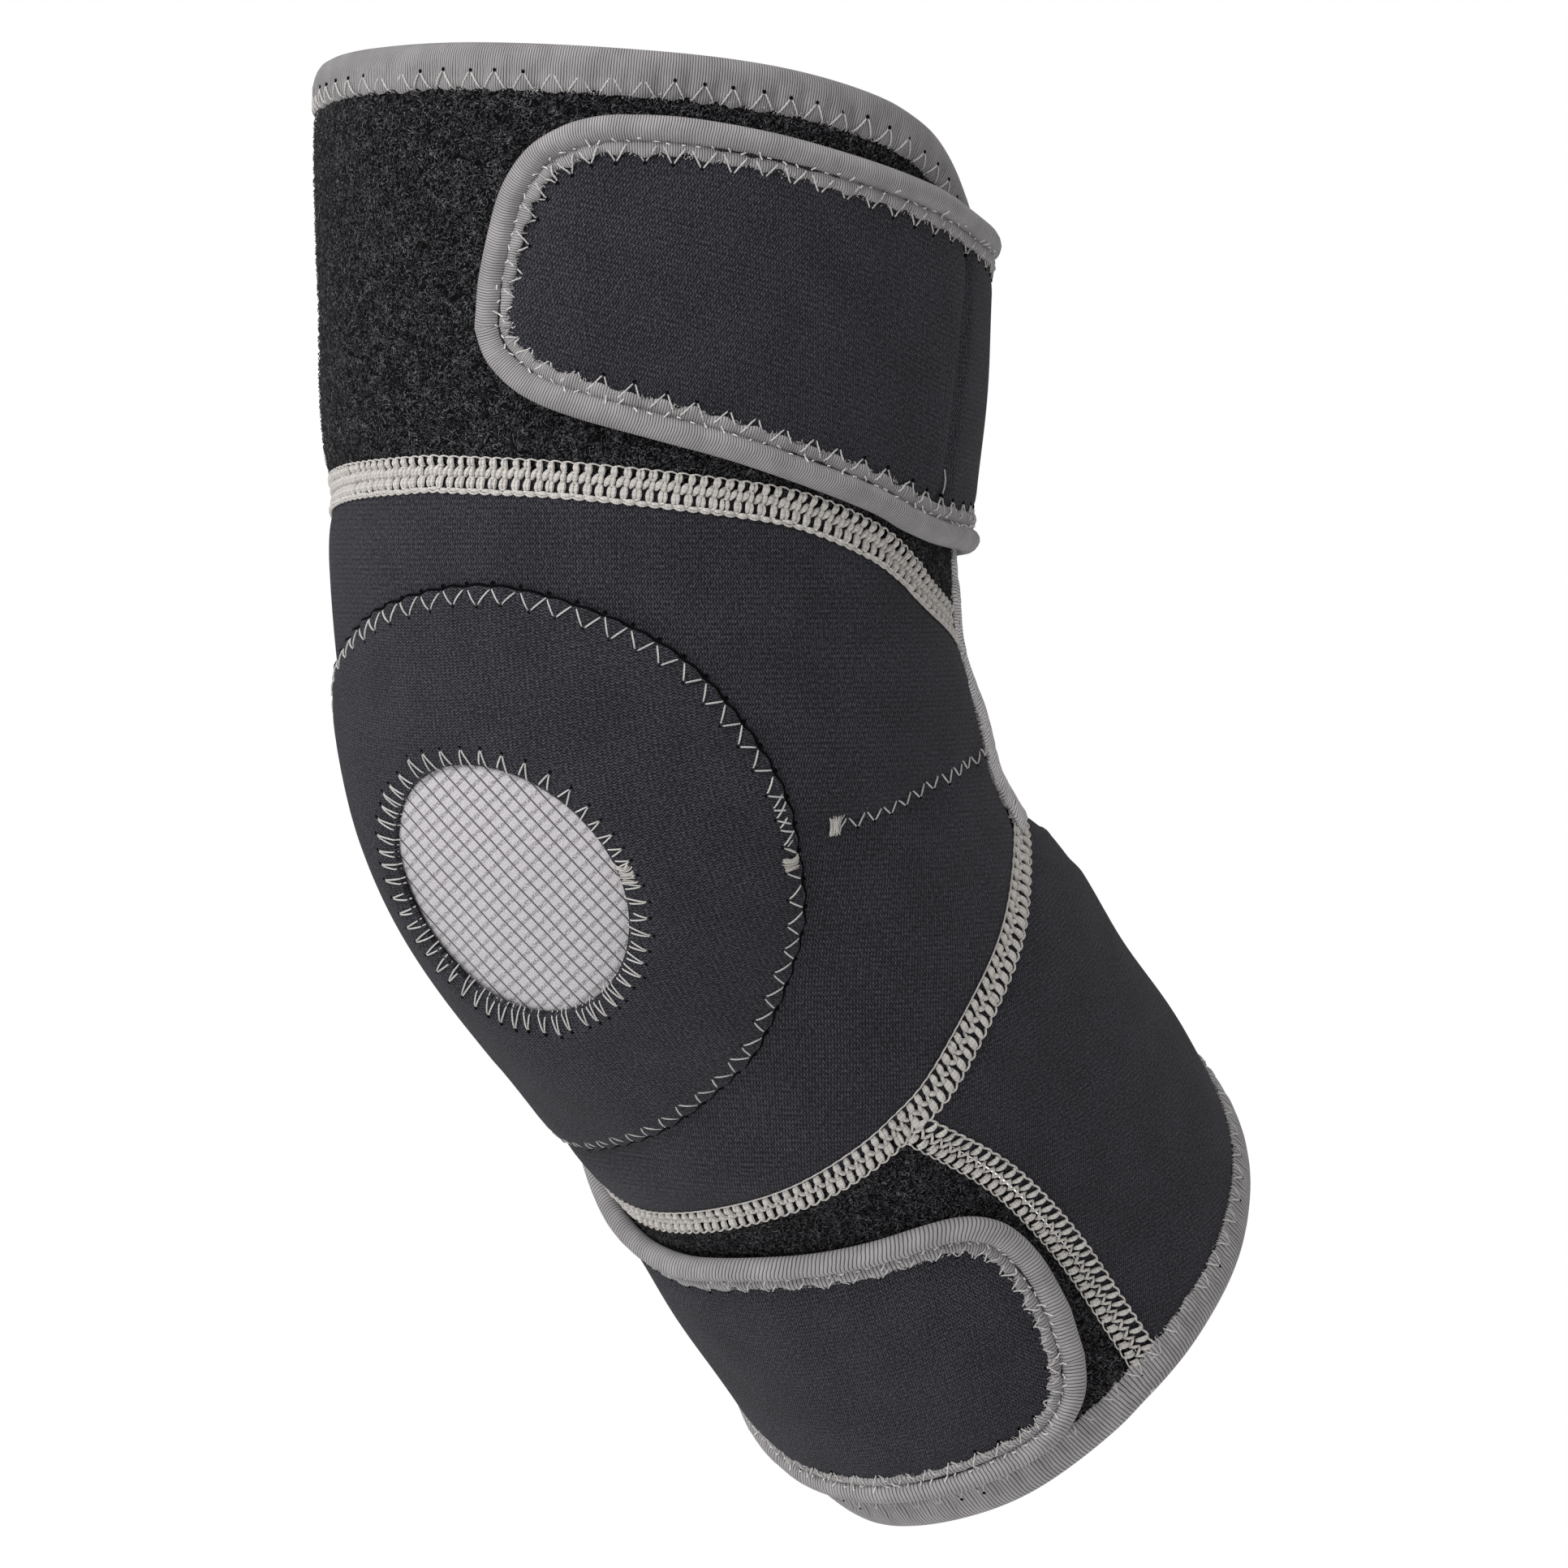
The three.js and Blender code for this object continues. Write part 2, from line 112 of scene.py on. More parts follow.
def smooth(rows, at, column=1):
    """A column of a table at a value of its first column, on a smooth curve through the rows."""
    rows = np.asarray(rows, float)
    keys, values = rows[:, 0], rows[:, column]
    before = np.maximum(np.arange(len(rows)) - 1, 0)
    after = np.minimum(np.arange(len(rows)) + 1, len(rows) - 1)
    slope = (values[after] - values[before]) / (keys[after] - keys[before])
    row = np.clip(np.searchsorted(keys, at) - 1, 0, len(rows) - 2)
    span = keys[row + 1] - keys[row]
    t = np.clip((at - keys[row]) / span, 0, 1)
    bend = t * (1 - t) * span * ((1 - t) * slope[row] - t * slope[row + 1])
    return values[row] + (values[row + 1] - values[row]) * t * t * (3 - 2 * t) + bend


def depth_at(places):
    """How far a place lies in front of the centre line."""
    facing = np.cos(np.radians(places[..., 0]))
    front, back = (smooth(SECTIONS, places[..., 1], column) for column in (FRONT, BACK))
    return np.where(facing > 0, front, back) * facing


def leg(places):
    """Points of the leg's surface."""
    along = places[..., 1]
    depth = depth_at(places)
    tilt = np.clip(FLEXION / 2 - along / BEND_RADIUS, 0, FLEXION)
    thigh = np.maximum(along - HALF_BEND, 0)
    shin = np.minimum(along + HALF_BEND, 0)
    bend_y = BEND_RADIUS * (np.cos(FLEXION / 2) - np.cos(tilt))
    bend_z = BEND_RADIUS * (np.sin(FLEXION / 2) - np.sin(tilt))
    return np.stack([
        smooth(SECTIONS, along, SIDE) * np.sin(np.radians(places[..., 0])),
        bend_y - shin * np.sin(FLEXION) - depth * np.cos(tilt),
        bend_z + thigh + shin * np.cos(FLEXION) - depth * np.sin(tilt),
    ], -1)


def unit(vectors):
    return vectors / np.linalg.norm(vectors, axis=-1, keepdims=True)


def directions(places):
    """The steps of a point for one degree around and one millimetre along, and the way out of the leg."""
    around = leg(places + (0.5, 0)) - leg(places - (0.5, 0))
    along = leg(places + (0, 0.5)) - leg(places - (0, 0.5))
    return around, along, unit(np.cross(around, along))


def above(places, height):
    return leg(places) + directions(places)[2] * np.asarray(height)[..., None]


knee_front = leg(np.array((0.0, 0.0)))
print("front of the knee at", np.round(knee_front, 1))

# %% [markdown]
# ## Cut lines
# These are the pattern pieces' edges, as a cutter would chalk them on the leg. Each has only the points
# that its shape needs, and a smooth curve runs through them.

# %% Cut lines of the panels, the straps and the kneecap ring
RIM = [(-110, 117), (-86, 127), (-65, 132.5), (-48, 135.4), (-30, 136.3), (-10, 137.1), (12, 136.9),
       (39, 135), (66, 132), (86, 127.2), (99, 121.9), (108, 116.3), (117, 109.9), (126, 105.2), (139, 102)]
UPPER_SEAM_MIDDLE = 5
UPPER_SEAM = [(0, 54.7), (27, 53.2), (55, 49.8), (67, 47.6), (79.8, 42.8), (93.3, 36.3), (105, 29),
              (112, 24.6), (118, 20), (125, 12)]
LOWER_SEAM = [(-118, -44), (-105, -53), (-90, -61.5), (-70, -71), (-50, -77), (-30, -78.7), (-15, -77.8),
              (0, -75.4), (15, -73.7), (33, -72), (48, -69.7), (62, -66.2), (75, -61.7), (88, -57.1),
              (102, -52.5), (115, -48), (128, -45)]
BRANCH_SEAM = [(70.3, -157), (70.6, -128), (69.4, -111), (66.2, -94), (60.9, -80), (55.8, -68)]
HEM = [(-95, -136), (-70, -138), (-52, -144), (-40, -151.6), (-30, -160), (-20, -166), (-8, -168),
       (5, -167.1), (18, -165.8), (35, -163.5), (48, -161.4), (58, -159.4), (67, -157.4), (84, -156.2),
       (106, -154.2), (120, -151.8), (133, -148.8), (155, -145.4), (180, -144), (210, -144.5), (240, -146)]
CALF_TAPE_START = 158
CALF_TOP = [(128, -46), (134, -53.5), (140, -60.5), (146, -66), (152, -69.5), (161, -72), (172, -73),
            (184, -71.5), (197, -67.8), (210, -63.5), (222, -60.4), (232, -60.2), (240, -61)]
LATERAL_EDGE = [(138.2, 91), (134, 52), (130.1, 12), (129.4, -9), (128.8, -28), (128.2, -42)]
LATERAL_TAPE_END = (128.4, -46)
MEDIAL_EDGE = [(-118, 35), (-120, 12), (-119.3, -9), (-118.6, -28), (-118.2, -42)]
UPPER_STRAP_TOP = [(249.6, 117), (215, 107), (180, 101.5), (150, 101), (117, 104.5), (96.5, 110.3),
                   (79.5, 115), (65.3, 118.7), (52, 121.2), (43, 121.8), (37.5, 121.5), (32.2, 119.8),
                   (26.9, 116), (22.7, 109), (20.2, 99.8), (18.5, 91.2)]
UPPER_STRAP_BOTTOM = [(242, 37), (215, 37), (180, 38), (150, 39.5), (110, 41.5), (95.5, 44.2), (85.8, 48.2),
                      (73, 53), (59.2, 58.1), (46, 62.3), (33.4, 66.5), (25.2, 70.6), (19.8, 76.5),
                      (17.8, 82.5)]
LOWER_STRAP_TOP = [(240.4, -62), (270, -67), (295, -75.5), (318, -83), (335, -86), (352, -86.4),
                   (366.7, -85.7), (380.4, -87.6), (395.3, -89.8), (407.5, -91.9), (415.5, -95.4),
                   (420.7, -102), (422.9, -113), (422.3, -126)]
LOWER_STRAP_BOTTOM = [(240.4, -146), (270, -146.5), (300, -149), (330, -152.6), (345, -155), (367, -155.2),
                      (382, -155.2), (396, -154.1), (405, -152.6), (411.5, -149.3), (416.3, -144.6),
                      (419.7, -137.4)]
PAD_EDGE = [(18, 33.8), (38, 30), (52, 22.9), (61.5, 11), (65, -1), (62.5, -14), (56.5, -23), (44, -32.4),
            (24, -42.6), (-3, -52.3), (-20, -57.2), (-32, -58), (-43, -51), (-49.5, -36), (-52, -18),
            (-51, 0), (-46, 13), (-38, 21), (-27, 26), (-5, 31.7)]
PAD_TACK = (62.5, -9)
KNEECAP = np.array((8.4, -3.9))
KNEECAP_RADIUS = 28
DART = [(71.5, -7), (84.3, -10.2), (98.6, -12.4), (112, -16.5), (124, -20.5)]
DART_CREASE = [(67.5, -8), (74, -9.5), (84, -11.5), (94, -13.5)]
STRAP_JOIN = [(109.5, 100), (107.7, 79.6), (106, 63.7), (103.5, 48)]
UPPER_ROOT = np.array([(-110.4, 113), (-117.4, 41)])
LOWER_ROOT = np.array([(240.2, -66), (240.2, -142)])
CURVE_STEPS = 24


def rim(around):
    return smooth(RIM, around)


def upper_seam(around):
    return smooth(UPPER_SEAM, np.abs(around - UPPER_SEAM_MIDDLE))


def lower_seam(around):
    return smooth(LOWER_SEAM, around)


def calf_top(around):
    return np.where(around < CALF_TOP[0][0], lower_seam(around), smooth(CALF_TOP, around))


def hem(around):
    return smooth(HEM, around)


def ends(rows):
    """The angles at which a table starts and ends."""
    return rows[0][0], rows[-1][0]


def edge(along_at, start, end, count, shift=0.0):
    """Places on an edge that is known at every angle around the leg, shifted along the leg."""
    around = np.linspace(start, end, count)
    return np.stack([around, along_at(around) + shift], -1)


def respaced(line, count):
    """The same line with its places evenly spaced in millimetres."""
    steps = np.linalg.norm(np.diff(leg(line), axis=0), axis=1)
    run = np.concatenate([[0], np.cumsum(steps)])
    at = np.linspace(0, run[-1], count)
    return np.stack([np.interp(at, run, line[:, 0]), np.interp(at, run, line[:, 1])], -1)


def curve(rows, count):
    """Evenly spaced places on a smooth curve through the rows of a table."""
    rows = np.asarray(rows, float)
    doubled = np.vstack([rows[:1], rows, rows[-1:]])
    t = np.linspace(0, 1, CURVE_STEPS, endpoint=False)[:, None]
    spans = []
    for before, start, end, after in zip(doubled, doubled[1:], doubled[2:], doubled[3:]):
        leave, arrive = (end - before) / 2, (after - start) / 2
        spans.append(start + (end - start) * t * t * (3 - 2 * t)
                     + t * (1 - t) * ((1 - t) * leave - t * arrive))
    return respaced(np.vstack([*spans, rows[-1:]]), count)


def straight(start, end, count):
    return start + (end - start) * np.linspace(0, 1, count)[:, None]


def patch(bottom, top, left, right):
    """Grid of places inside four edges, each carried across to the side that faces it."""
    s = np.linspace(0, 1, len(bottom))[:, None, None]
    t = np.linspace(0, 1, len(left))[None, :, None]
    upright = bottom[:, None] * (1 - t) + top[:, None] * t
    across = left[None] * (1 - s) + right[None] * s
    low, high = bottom[0] * (1 - s) + bottom[-1] * s, top[0] * (1 - s) + top[-1] * s
    return upright + across - low * (1 - t) - high * t


def ruled(bottom, top, rows):
    return patch(bottom, top, straight(bottom[0], top[0], rows), straight(bottom[-1], top[-1], rows))


print("cut lines of", len(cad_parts), "pieces")

# %% [markdown]
# ## How thread pulls the cloth
# Neoprene is a thin foam, so each row of stitches presses a valley into it, and it swells between rows.
# A sculptor would push these by hand. Here each sewn line has a depth and a width, and the height of the
# cloth falls off smoothly from it, which also keeps every piece that lies on top in step.

# %% Valleys and swellings of the panels
NEOPRENE, GAP, SEAM = 2.6, 0.4, 0.5
LINE_POINTS, FORK_POINTS, DART_POINTS, CREASE_POINTS = 240, 90, 60, 30
DART_PULLED = 48
UPPER_HALF = UPPER_SEAM[-1][0]
UPPER_ENDS = (UPPER_SEAM_MIDDLE - UPPER_HALF, UPPER_SEAM_MIDDLE + UPPER_HALF)
RIM_LINE = edge(rim, *ends(RIM), LINE_POINTS)
FULL_SEAM = edge(upper_seam, *UPPER_ENDS, LINE_POINTS)
LOW_SEAM = edge(lower_seam, *ends(LOWER_SEAM), LINE_POINTS)
FORK = curve(BRANCH_SEAM, FORK_POINTS)
DART_LINE = curve(DART, DART_POINTS)
PULLS = [  # line, depth, width
    (FULL_SEAM, 1.5, 4.2),
    (LOW_SEAM, 1.3, 4.2),
    (FORK, 0.9, 4.0),
    (DART_LINE[:DART_PULLED], 0.9, 2.4),
    (curve(DART_CREASE, CREASE_POINTS), 1.3, 7.0),
]
SWELLINGS = [  # height, place along, width along, place around, width around
    (0.6, -64, 6, -20, 55),
    (0.8, 40, 9, -30, 50),
]
MM_PER_DEGREE = 1.13
WAVES, WAVE_HEIGHT = 6, 0.16
SHORTEST_WAVE, LONGEST_WAVE = 28, 60
wave_ways = rng.normal(size=(WAVES, 2))
wave_lengths = rng.uniform(SHORTEST_WAVE, LONGEST_WAVE, WAVES)
wave_ways *= (TURN / wave_lengths / np.linalg.norm(wave_ways, axis=1))[:, None]
wave_starts = rng.uniform(0, TURN, WAVES)


def distance_to(line, places):
    """Distance of each place from a line on the leg."""
    tree = KDTree(len(line))
    for number, point in enumerate(leg(line)):
        tree.insert(point, number)
    tree.balance()
    found = [tree.find(point)[2] for point in leg(places).reshape(-1, 3)]
    return np.reshape(found, places.shape[:-1])


def hill(value, middle, width):
    return np.exp(-((value - middle) / width) ** 2)


def waves(places, size=WAVE_HEIGHT):
    """Slow unevenness of stretched cloth."""
    flat = places * (MM_PER_DEGREE, 1)
    return size * np.sin(flat @ wave_ways.T + wave_starts).sum(-1)


def valley(places, line, depth, width):
    """How far a sewn line pulls the cloth down at each place."""
    return depth * hill(distance_to(line, places), 0, width)


def relief(places):
    """Height of the sewn cloth's face above the leg's surface."""
    height = waves(places)
    for pull in PULLS:
        height = height - valley(places, *pull)
    for rise, along, long, around, wide in SWELLINGS:
        height = height + rise * hill(places[..., 1], along, long) * hill(places[..., 0], around, wide)
    return height


print("deepest valley", round(float(-relief(FULL_SEAM[::8]).min()), 2), "mm")

# %% [markdown]
# ## Building meshes from arrays
# Thousands of stitches made one by one with operators would take minutes. A mesh can take all its points
# and faces at once, so each piece is worked out as an array. Every piece also carries a grain: the
# millimetres along and across its own cloth, which its weave follows wherever the cloth turns.

# %% Meshes, sheets and thread
COLLECTION = bpy.context.scene.collection
SHARP_ANGLE = np.radians(55)
LEAST_PLACES, FINER = 40, 4


def made(name, points, faces, materials, grain, face_materials=None):
    """A mesh object with its grain, its faces pointing out and its sharp edges marked."""
    mesh = bpy.data.meshes.new(name)
    quads = np.array([face if len(face) == 4 else (*face[:3], face[2]) for face in faces])
    a, b, c, d = (points[quads[:, corner]] for corner in range(4))
    volume = np.einsum("ij,ij->", a, np.cross(b, c)) + np.einsum("ij,ij->", a, np.cross(c, d))
    if volume < 0:
        faces = [face[::-1] for face in faces]
    mesh.from_pydata((points * MM).tolist(), [], faces)
    for material in materials:
        mesh.materials.append(material)
    if face_materials is not None:
        mesh.polygons.foreach_set("material_index", face_materials)
    mesh.attributes.new("grain", "FLOAT_VECTOR", "POINT").data.foreach_set("vector", grain.ravel())
    mesh.shade_smooth()
    mesh.set_sharp_from_angle(angle=SHARP_ANGLE)
    piece = bpy.data.objects.new(name, mesh)
    COLLECTION.objects.link(piece)
    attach(piece, "root")
    triangles = sum(len(face) - 2 for face in faces)
    print(f"{name}: {triangles} triangles")
    return piece


def grid_faces(columns, rows, wraps=False):
    """Corner numbers of the quads of a grid that is stored column by column."""
    first = np.arange(columns if wraps else columns - 1)[:, None]
    here = first * rows + np.arange(rows - 1)
    there = (first + 1) % columns * rows + np.arange(rows - 1)
    return np.stack([here, there, there + 1, here + 1], -1).reshape(-1, 4)


def rim_faces(ring, offset):
    ahead = np.roll(ring, -1)
    return np.stack([ring, ring + offset, ahead + offset, ahead], -1)


def sheet(name, grid, inner, outer, materials, grain=None, wraps=False, edge_rows=0):
    """Closed sheet over a grid of places, its last material inside and, as painted edge shade, on its first
    rows.
    """
    columns, rows = grid.shape[:2]
    points = np.concatenate([above(grid, outer).reshape(-1, 3), above(grid, inner).reshape(-1, 3)])
    numbers = np.arange(columns * rows).reshape(columns, rows)
    if wraps:
        rings = [numbers[:, 0], numbers[::-1, -1]]
    else:
        rings = [np.concatenate([numbers[:-1, 0], numbers[-1, :-1], numbers[:0:-1, -1], numbers[0, :0:-1]])]
    face = grid_faces(columns, rows, wraps)
    rims = np.concatenate([rim_faces(ring, columns * rows) for ring in rings])
    faces = np.concatenate([face, face[:, ::-1] + columns * rows, rims])
    inside = np.zeros(len(faces), int)
    inside[len(face):2 * len(face)] = len(materials) - 1
    # The first few rows from the edge take the last material too: painted shade along that edge.
    inside[:len(face)][np.arange(len(face)) % (rows - 1) < edge_rows] = len(materials) - 1
    if grain is None:
        grain = cloth_grain(grid)
    grain = np.concatenate([grain.reshape(-1, 3)] * 2)
    return made(name, points, faces.tolist(), materials, grain, inside)


def cloth_grain(grid):
    """Millimetres around and along, following the stretch of the bend."""
    along = grid[..., 1] + depth_at(grid) / BEND_RADIUS * np.clip(grid[..., 1], -HALF_BEND, HALF_BEND)
    return np.stack([grid[..., 0] * MM_PER_DEGREE, along, np.zeros_like(along)], -1)


def strap_grain(grid):
    """Millimetres along a strap and across it."""
    points = leg(grid)
    middle = points[:, points.shape[1] // 2]
    run = np.concatenate([[0], np.cumsum(np.linalg.norm(np.diff(middle, axis=0), axis=1))])
    rise = np.cumsum(np.linalg.norm(np.diff(points, axis=1, prepend=points[:, :1]), axis=2), axis=1)
    run = np.broadcast_to(run[:, None], rise.shape)
    return np.stack([run, rise, np.zeros_like(rise)], -1)


def tubes(paths, out, radius, sides=5):
    """Round thread along each path, thick or thin by step: its points, its faces and its grain."""
    count, steps = paths.shape[:2]
    ahead = unit(np.gradient(paths, axis=1))
    across = unit(np.cross(ahead, np.broadcast_to(out, paths.shape)))
    up = np.cross(across, ahead)
    turn = np.linspace(0, TURN, sides, endpoint=False)[:, None]
    reach = np.broadcast_to(radius, (count, steps))[..., None, None]
    ring = across[:, :, None] * np.cos(turn) + up[:, :, None] * np.sin(turn)
    points = paths[:, :, None] + reach * ring
    numbers = np.arange(count * steps * sides).reshape(count, steps, sides)
    onward = np.roll(numbers, -1, axis=2)
    walls = np.stack([numbers[:, :-1], onward[:, :-1], onward[:, 1:], numbers[:, 1:]], -1).reshape(-1, 4)
    caps = np.concatenate([numbers[:, 0, ::-1], numbers[:, -1]])
    run = np.cumsum(np.linalg.norm(np.diff(paths, axis=1, prepend=paths[:, :1]), axis=2), axis=1)
    grain = np.zeros((count, steps, sides, 3))
    grain[..., 0] = run[:, :, None]
    grain[..., 1] = turn[:, 0] / TURN
    grain[..., 2] = rng.uniform(0, 1, count)[:, None, None]
    return points.reshape(-1, 3), walls.tolist() + caps.tolist(), grain.reshape(-1, 3)


def joined(parts):
    """Several sets of points, faces and grain as one."""
    points, faces, grains, start = [], [], [], 0
    for part_points, part_faces, part_grain in parts:
        points.append(part_points)
        faces += [[corner + start for corner in face] for face in part_faces]
        grains.append(part_grain)
        start += len(part_points)
    return np.concatenate(points), faces, np.concatenate(grains)


def sewn(name, parts, material):
    """One piece made of several sets of thread."""
    points, faces, grain = joined(parts)
    return made(name, points, faces, [material], grain)


class SewnLine:
    """A line on the cloth, followed in millimetres: how far along it, to its left and above its cloth."""

    def __init__(self, places, lift, closed=False):
        self.places = respaced(places, max(LEAST_PLACES, FINER * len(places)))
        self.lift = lift
        around, along, _ = directions(self.places)
        size = np.stack([np.linalg.norm(around, axis=1), np.linalg.norm(along, axis=1)], -1)
        ahead = np.gradient(self.places, axis=0) * size
        if closed:
            ahead[0] = ahead[-1] = ahead[0] + ahead[-1]
        left = unit(np.stack([-ahead[:, 1], ahead[:, 0]], -1))
        self.left = left / size
        steps = np.linalg.norm(np.diff(leg(self.places), axis=0), axis=1)
        self.run = np.concatenate([[0], np.cumsum(steps)])
        self.length = self.run[-1]

    def spots(self, run, left):
        run, left = np.broadcast_arrays(run, left)
        values = np.hstack([self.places, self.left])
        found = np.stack([np.interp(run, self.run, column) for column in values.T], -1)
        return found[..., :2] + found[..., 2:] * left[..., None]

    def at(self, run, left, height):
        spots = self.spots(run, left)
        return above(spots, self.lift(spots) + height)

    def out(self, run, left):
        return directions(self.spots(run, left))[2]

    def nearest(self, place):
        """How far along the line its nearest place to another one is."""
        return self.run[np.argmin(np.linalg.norm(leg(self.places) - leg(np.array(place)), axis=1))]


print("mesh helpers ready")

# %% [markdown]
# ## Surface effects that several materials share
# Cloth is never one even colour: dye takes unevenly, lint clings to it, yarn runs in ribs, and the grooves
# between ribs and stitches are painted darker as shade. Painted maps could show that, but they blur up close
# and need unwrapping. Node groups work it out from the grain instead, and each material that needs one sets
# its own numbers on the group's sockets.

# %% Node helpers
class Signal:
    """A socket that a node puts out. Plain arithmetic with it makes Math nodes."""

    def __init__(self, socket):
        self.socket = socket
        self.tree = socket.id_data

    def __add__(self, other):
        return maths(self.tree, "ADD", self, other)

    def __sub__(self, other):
        return maths(self.tree, "SUBTRACT", self, other)

    def __rsub__(self, other):
        return maths(self.tree, "SUBTRACT", other, self)

    def __mul__(self, other):
        return maths(self.tree, "MULTIPLY", self, other)

    def __truediv__(self, other):
        return maths(self.tree, "DIVIDE", self, other)

    def __rtruediv__(self, other):
        return maths(self.tree, "DIVIDE", other, self)

    def __pow__(self, other):
        return maths(self.tree, "POWER", self, other)

    def __abs__(self):
        return maths(self.tree, "ABSOLUTE", self)


def node(tree, kind, sockets=(), **settings):
    """A shader node with its settings, and its sockets set to a value or joined to a signal."""
    new = tree.nodes.new("ShaderNode" + kind)
    for name, value in settings.items():
        setattr(new, name, value)
    for name, value in dict(sockets).items():
        if isinstance(value, Signal):
            tree.links.new(value.socket, new.inputs[name])
        else:
            new.inputs[name].default_value = value
    return new


def signals(new):
    """What a node puts out, by name."""
    return {socket.name: Signal(socket) for socket in new.outputs}


def maths(tree, operation, *values):
    return Signal(node(tree, "Math", dict(enumerate(values)), operation=operation).outputs[0])


def sine(value):
    return maths(value.tree, "SINE", value)


def between(value, low, high):
    """0 at the low value, 1 at the high one, and smooth on the way."""
    sockets = {"Value": value, "From Min": low, "From Max": high}
    return Signal(node(value.tree, "MapRange", sockets, interpolation_type="SMOOTHSTEP").outputs[0])


def colours(factor, low, high):
    sockets = {0: factor, 6: (*low, 1), 7: (*high, 1)}
    return Signal(node(factor.tree, "Mix", sockets, data_type="RGBA").outputs[2])


def components(vector):
    return [Signal(part) for part in node(vector.tree, "SeparateXYZ", {0: vector}).outputs]


def noise(vector, scale, detail=2.0, distortion=0.0):
    sockets = {"Vector": vector, "Scale": scale, "Detail": detail, "Distortion": distortion}
    return Signal(node(vector.tree, "TexNoise", sockets).outputs[0])


print("node helpers ready")


# %% Groups for tone, knit and ribs
def group(name, effects, **values):
    """A node group that takes the grain and some values, and puts out the effects made from them."""
    tree = bpy.data.node_groups.new(name, "ShaderNodeTree")
    tree.interface.new_socket("Grain", in_out="INPUT", socket_type="NodeSocketVector")
    for label, value in values.items():
        socket = tree.interface.new_socket(label, in_out="INPUT", socket_type="NodeSocketFloat")
        socket.default_value = value
    results = effects(signals(tree.nodes.new("NodeGroupInput")))
    for label in results:
        tree.interface.new_socket(label, in_out="OUTPUT", socket_type="NodeSocketFloat")
    output = tree.nodes.new("NodeGroupOutput")
    for label, result in results.items():
        tree.links.new(result.socket, output.inputs[label])
    return tree


LINT_STRETCH = (0.7, 1.6, 1.0)
STITCH_SWING, STITCH_TURNING, STITCH_ROW = 0.46, 0.2, 0.06
RIB_ROUNDNESS = 0.6


def uneven_tone(given):
    """Uneven dye over a few millimetres, and fine specks of lint."""
    grain = given["Grain"]
    slow = noise(grain, 1.0 / given["Size"], 3.0)
    long = node(grain.tree, "VectorMath", {0: grain, 1: LINT_STRETCH}, operation="MULTIPLY").outputs[0]
    fine = noise(Signal(long), 1.5, 2.0, 1.5)
    return {"Tone": between(slow, 0.3, 0.7), "Lint": between(fine, 0.6, 0.78)}


def knitted(given):
    """Columns of small slanted stitches that lean left and right in turn, row by row."""
    grain = given["Grain"]
    drift = noise(grain, 0.6) * given["Waver"]
    x, y, _ = components(grain)
    row = maths(grain.tree, "ARCSINE", sine((y + drift) / given["Course"] * TURN))
    column = sine((x + drift) / given["Wale"] * TURN + row * given["Sway"])
    column = column * (STITCH_SWING - row * row * STITCH_TURNING * 0.5)
    return {"Height": column + row * STITCH_ROW + 0.5}


def ribbed(given):
    """Rounded ribs across the grain with thin grooves between them. Lean makes them slant."""
    grain = given["Grain"]
    drift = noise(grain, 0.5) * given["Waver"]
    x, y, _ = components(grain)
    at = x + y * given["Lean"] + drift
    height = abs(sine(at / given["Pitch"] * np.pi)) ** RIB_ROUNDNESS
    return {"Height": height, "Groove": between(height, 0.75, 0.2)}


TONE = group("Tone", uneven_tone, Size=9.0)
KNIT = group("Knit", knitted, Wale=0.575, Course=0.97, Sway=1.5, Waver=0.5)
RIBS = group("Ribs", ribbed, Pitch=0.6, Lean=0.0, Waver=0.2)
print("shared groups:", TONE.name, KNIT.name, RIBS.name)

# %% [markdown]
# ## Finishes
# There are five: charcoal jersey, black loop plush, ribbed grey tape, a pale mesh with a woven grid, and
# sewing thread. All are matt and a little furry, so light catches their outlines. The sheen in the shader
# does that for the fur that is too fine to build.

# %% Cloth finishes
JERSEY_DARK, JERSEY_LIGHT = (0.004, 0.004, 0.0055), (0.091, 0.089, 0.114)
PLUSH_DARK, PLUSH_LIGHT = (0.002, 0.002, 0.0025), (0.165, 0.162, 0.178)
PILE_DARK, PILE_LIGHT = (0.012, 0.012, 0.014), (0.15, 0.147, 0.156)
MESH_LIGHT, MESH_DARK = (0.66, 0.63, 0.655), (0.025, 0.023, 0.025)
LINE_PITCH, BAND_PITCH, DOT_PITCH = 3.26, 2.39, 0.42
JERSEY_RELIEF, PLUSH_RELIEF, MESH_RELIEF, TAPE_RELIEF, THREAD_RELIEF = 0.2, 0.4, -0.12, 0.15, 0.06
SHEEN_ROUGHNESS = 0.5


def cloth_material(name, roughness, sheen, shine=0.25):
    """A material with its shader set up, its shader and its grain."""
    new = bpy.data.materials.new(name)
    new.use_nodes = True
    shader = new.node_tree.nodes["Principled BSDF"]
    shader.inputs["Roughness"].default_value = roughness
    shader.inputs["Sheen Weight"].default_value = sheen
    shader.inputs["Sheen Roughness"].default_value = SHEEN_ROUGHNESS
    shader.inputs["Specular IOR Level"].default_value = shine
    grain = node(new.node_tree, "Attribute", attribute_name="grain").outputs["Vector"]
    return new, shader, Signal(grain)


def use(shared, grain, **values):
    """A shared group in a material, fed with the grain and with its own values."""
    return signals(node(grain.tree, "Group", {"Grain": grain, **values}, node_tree=shared))


def paint(shader, colour):
    colour.tree.links.new(colour.socket, shader.inputs["Base Color"])


def dress(shader, colour, height, relief_mm):
    """Colour and bump of a cloth."""
    bump = node(height.tree, "Bump", {"Height": height, "Strength": 1.0, "Distance": relief_mm * MM})
    height.tree.links.new(bump.outputs[0], shader.inputs["Normal"])
    paint(shader, colour)


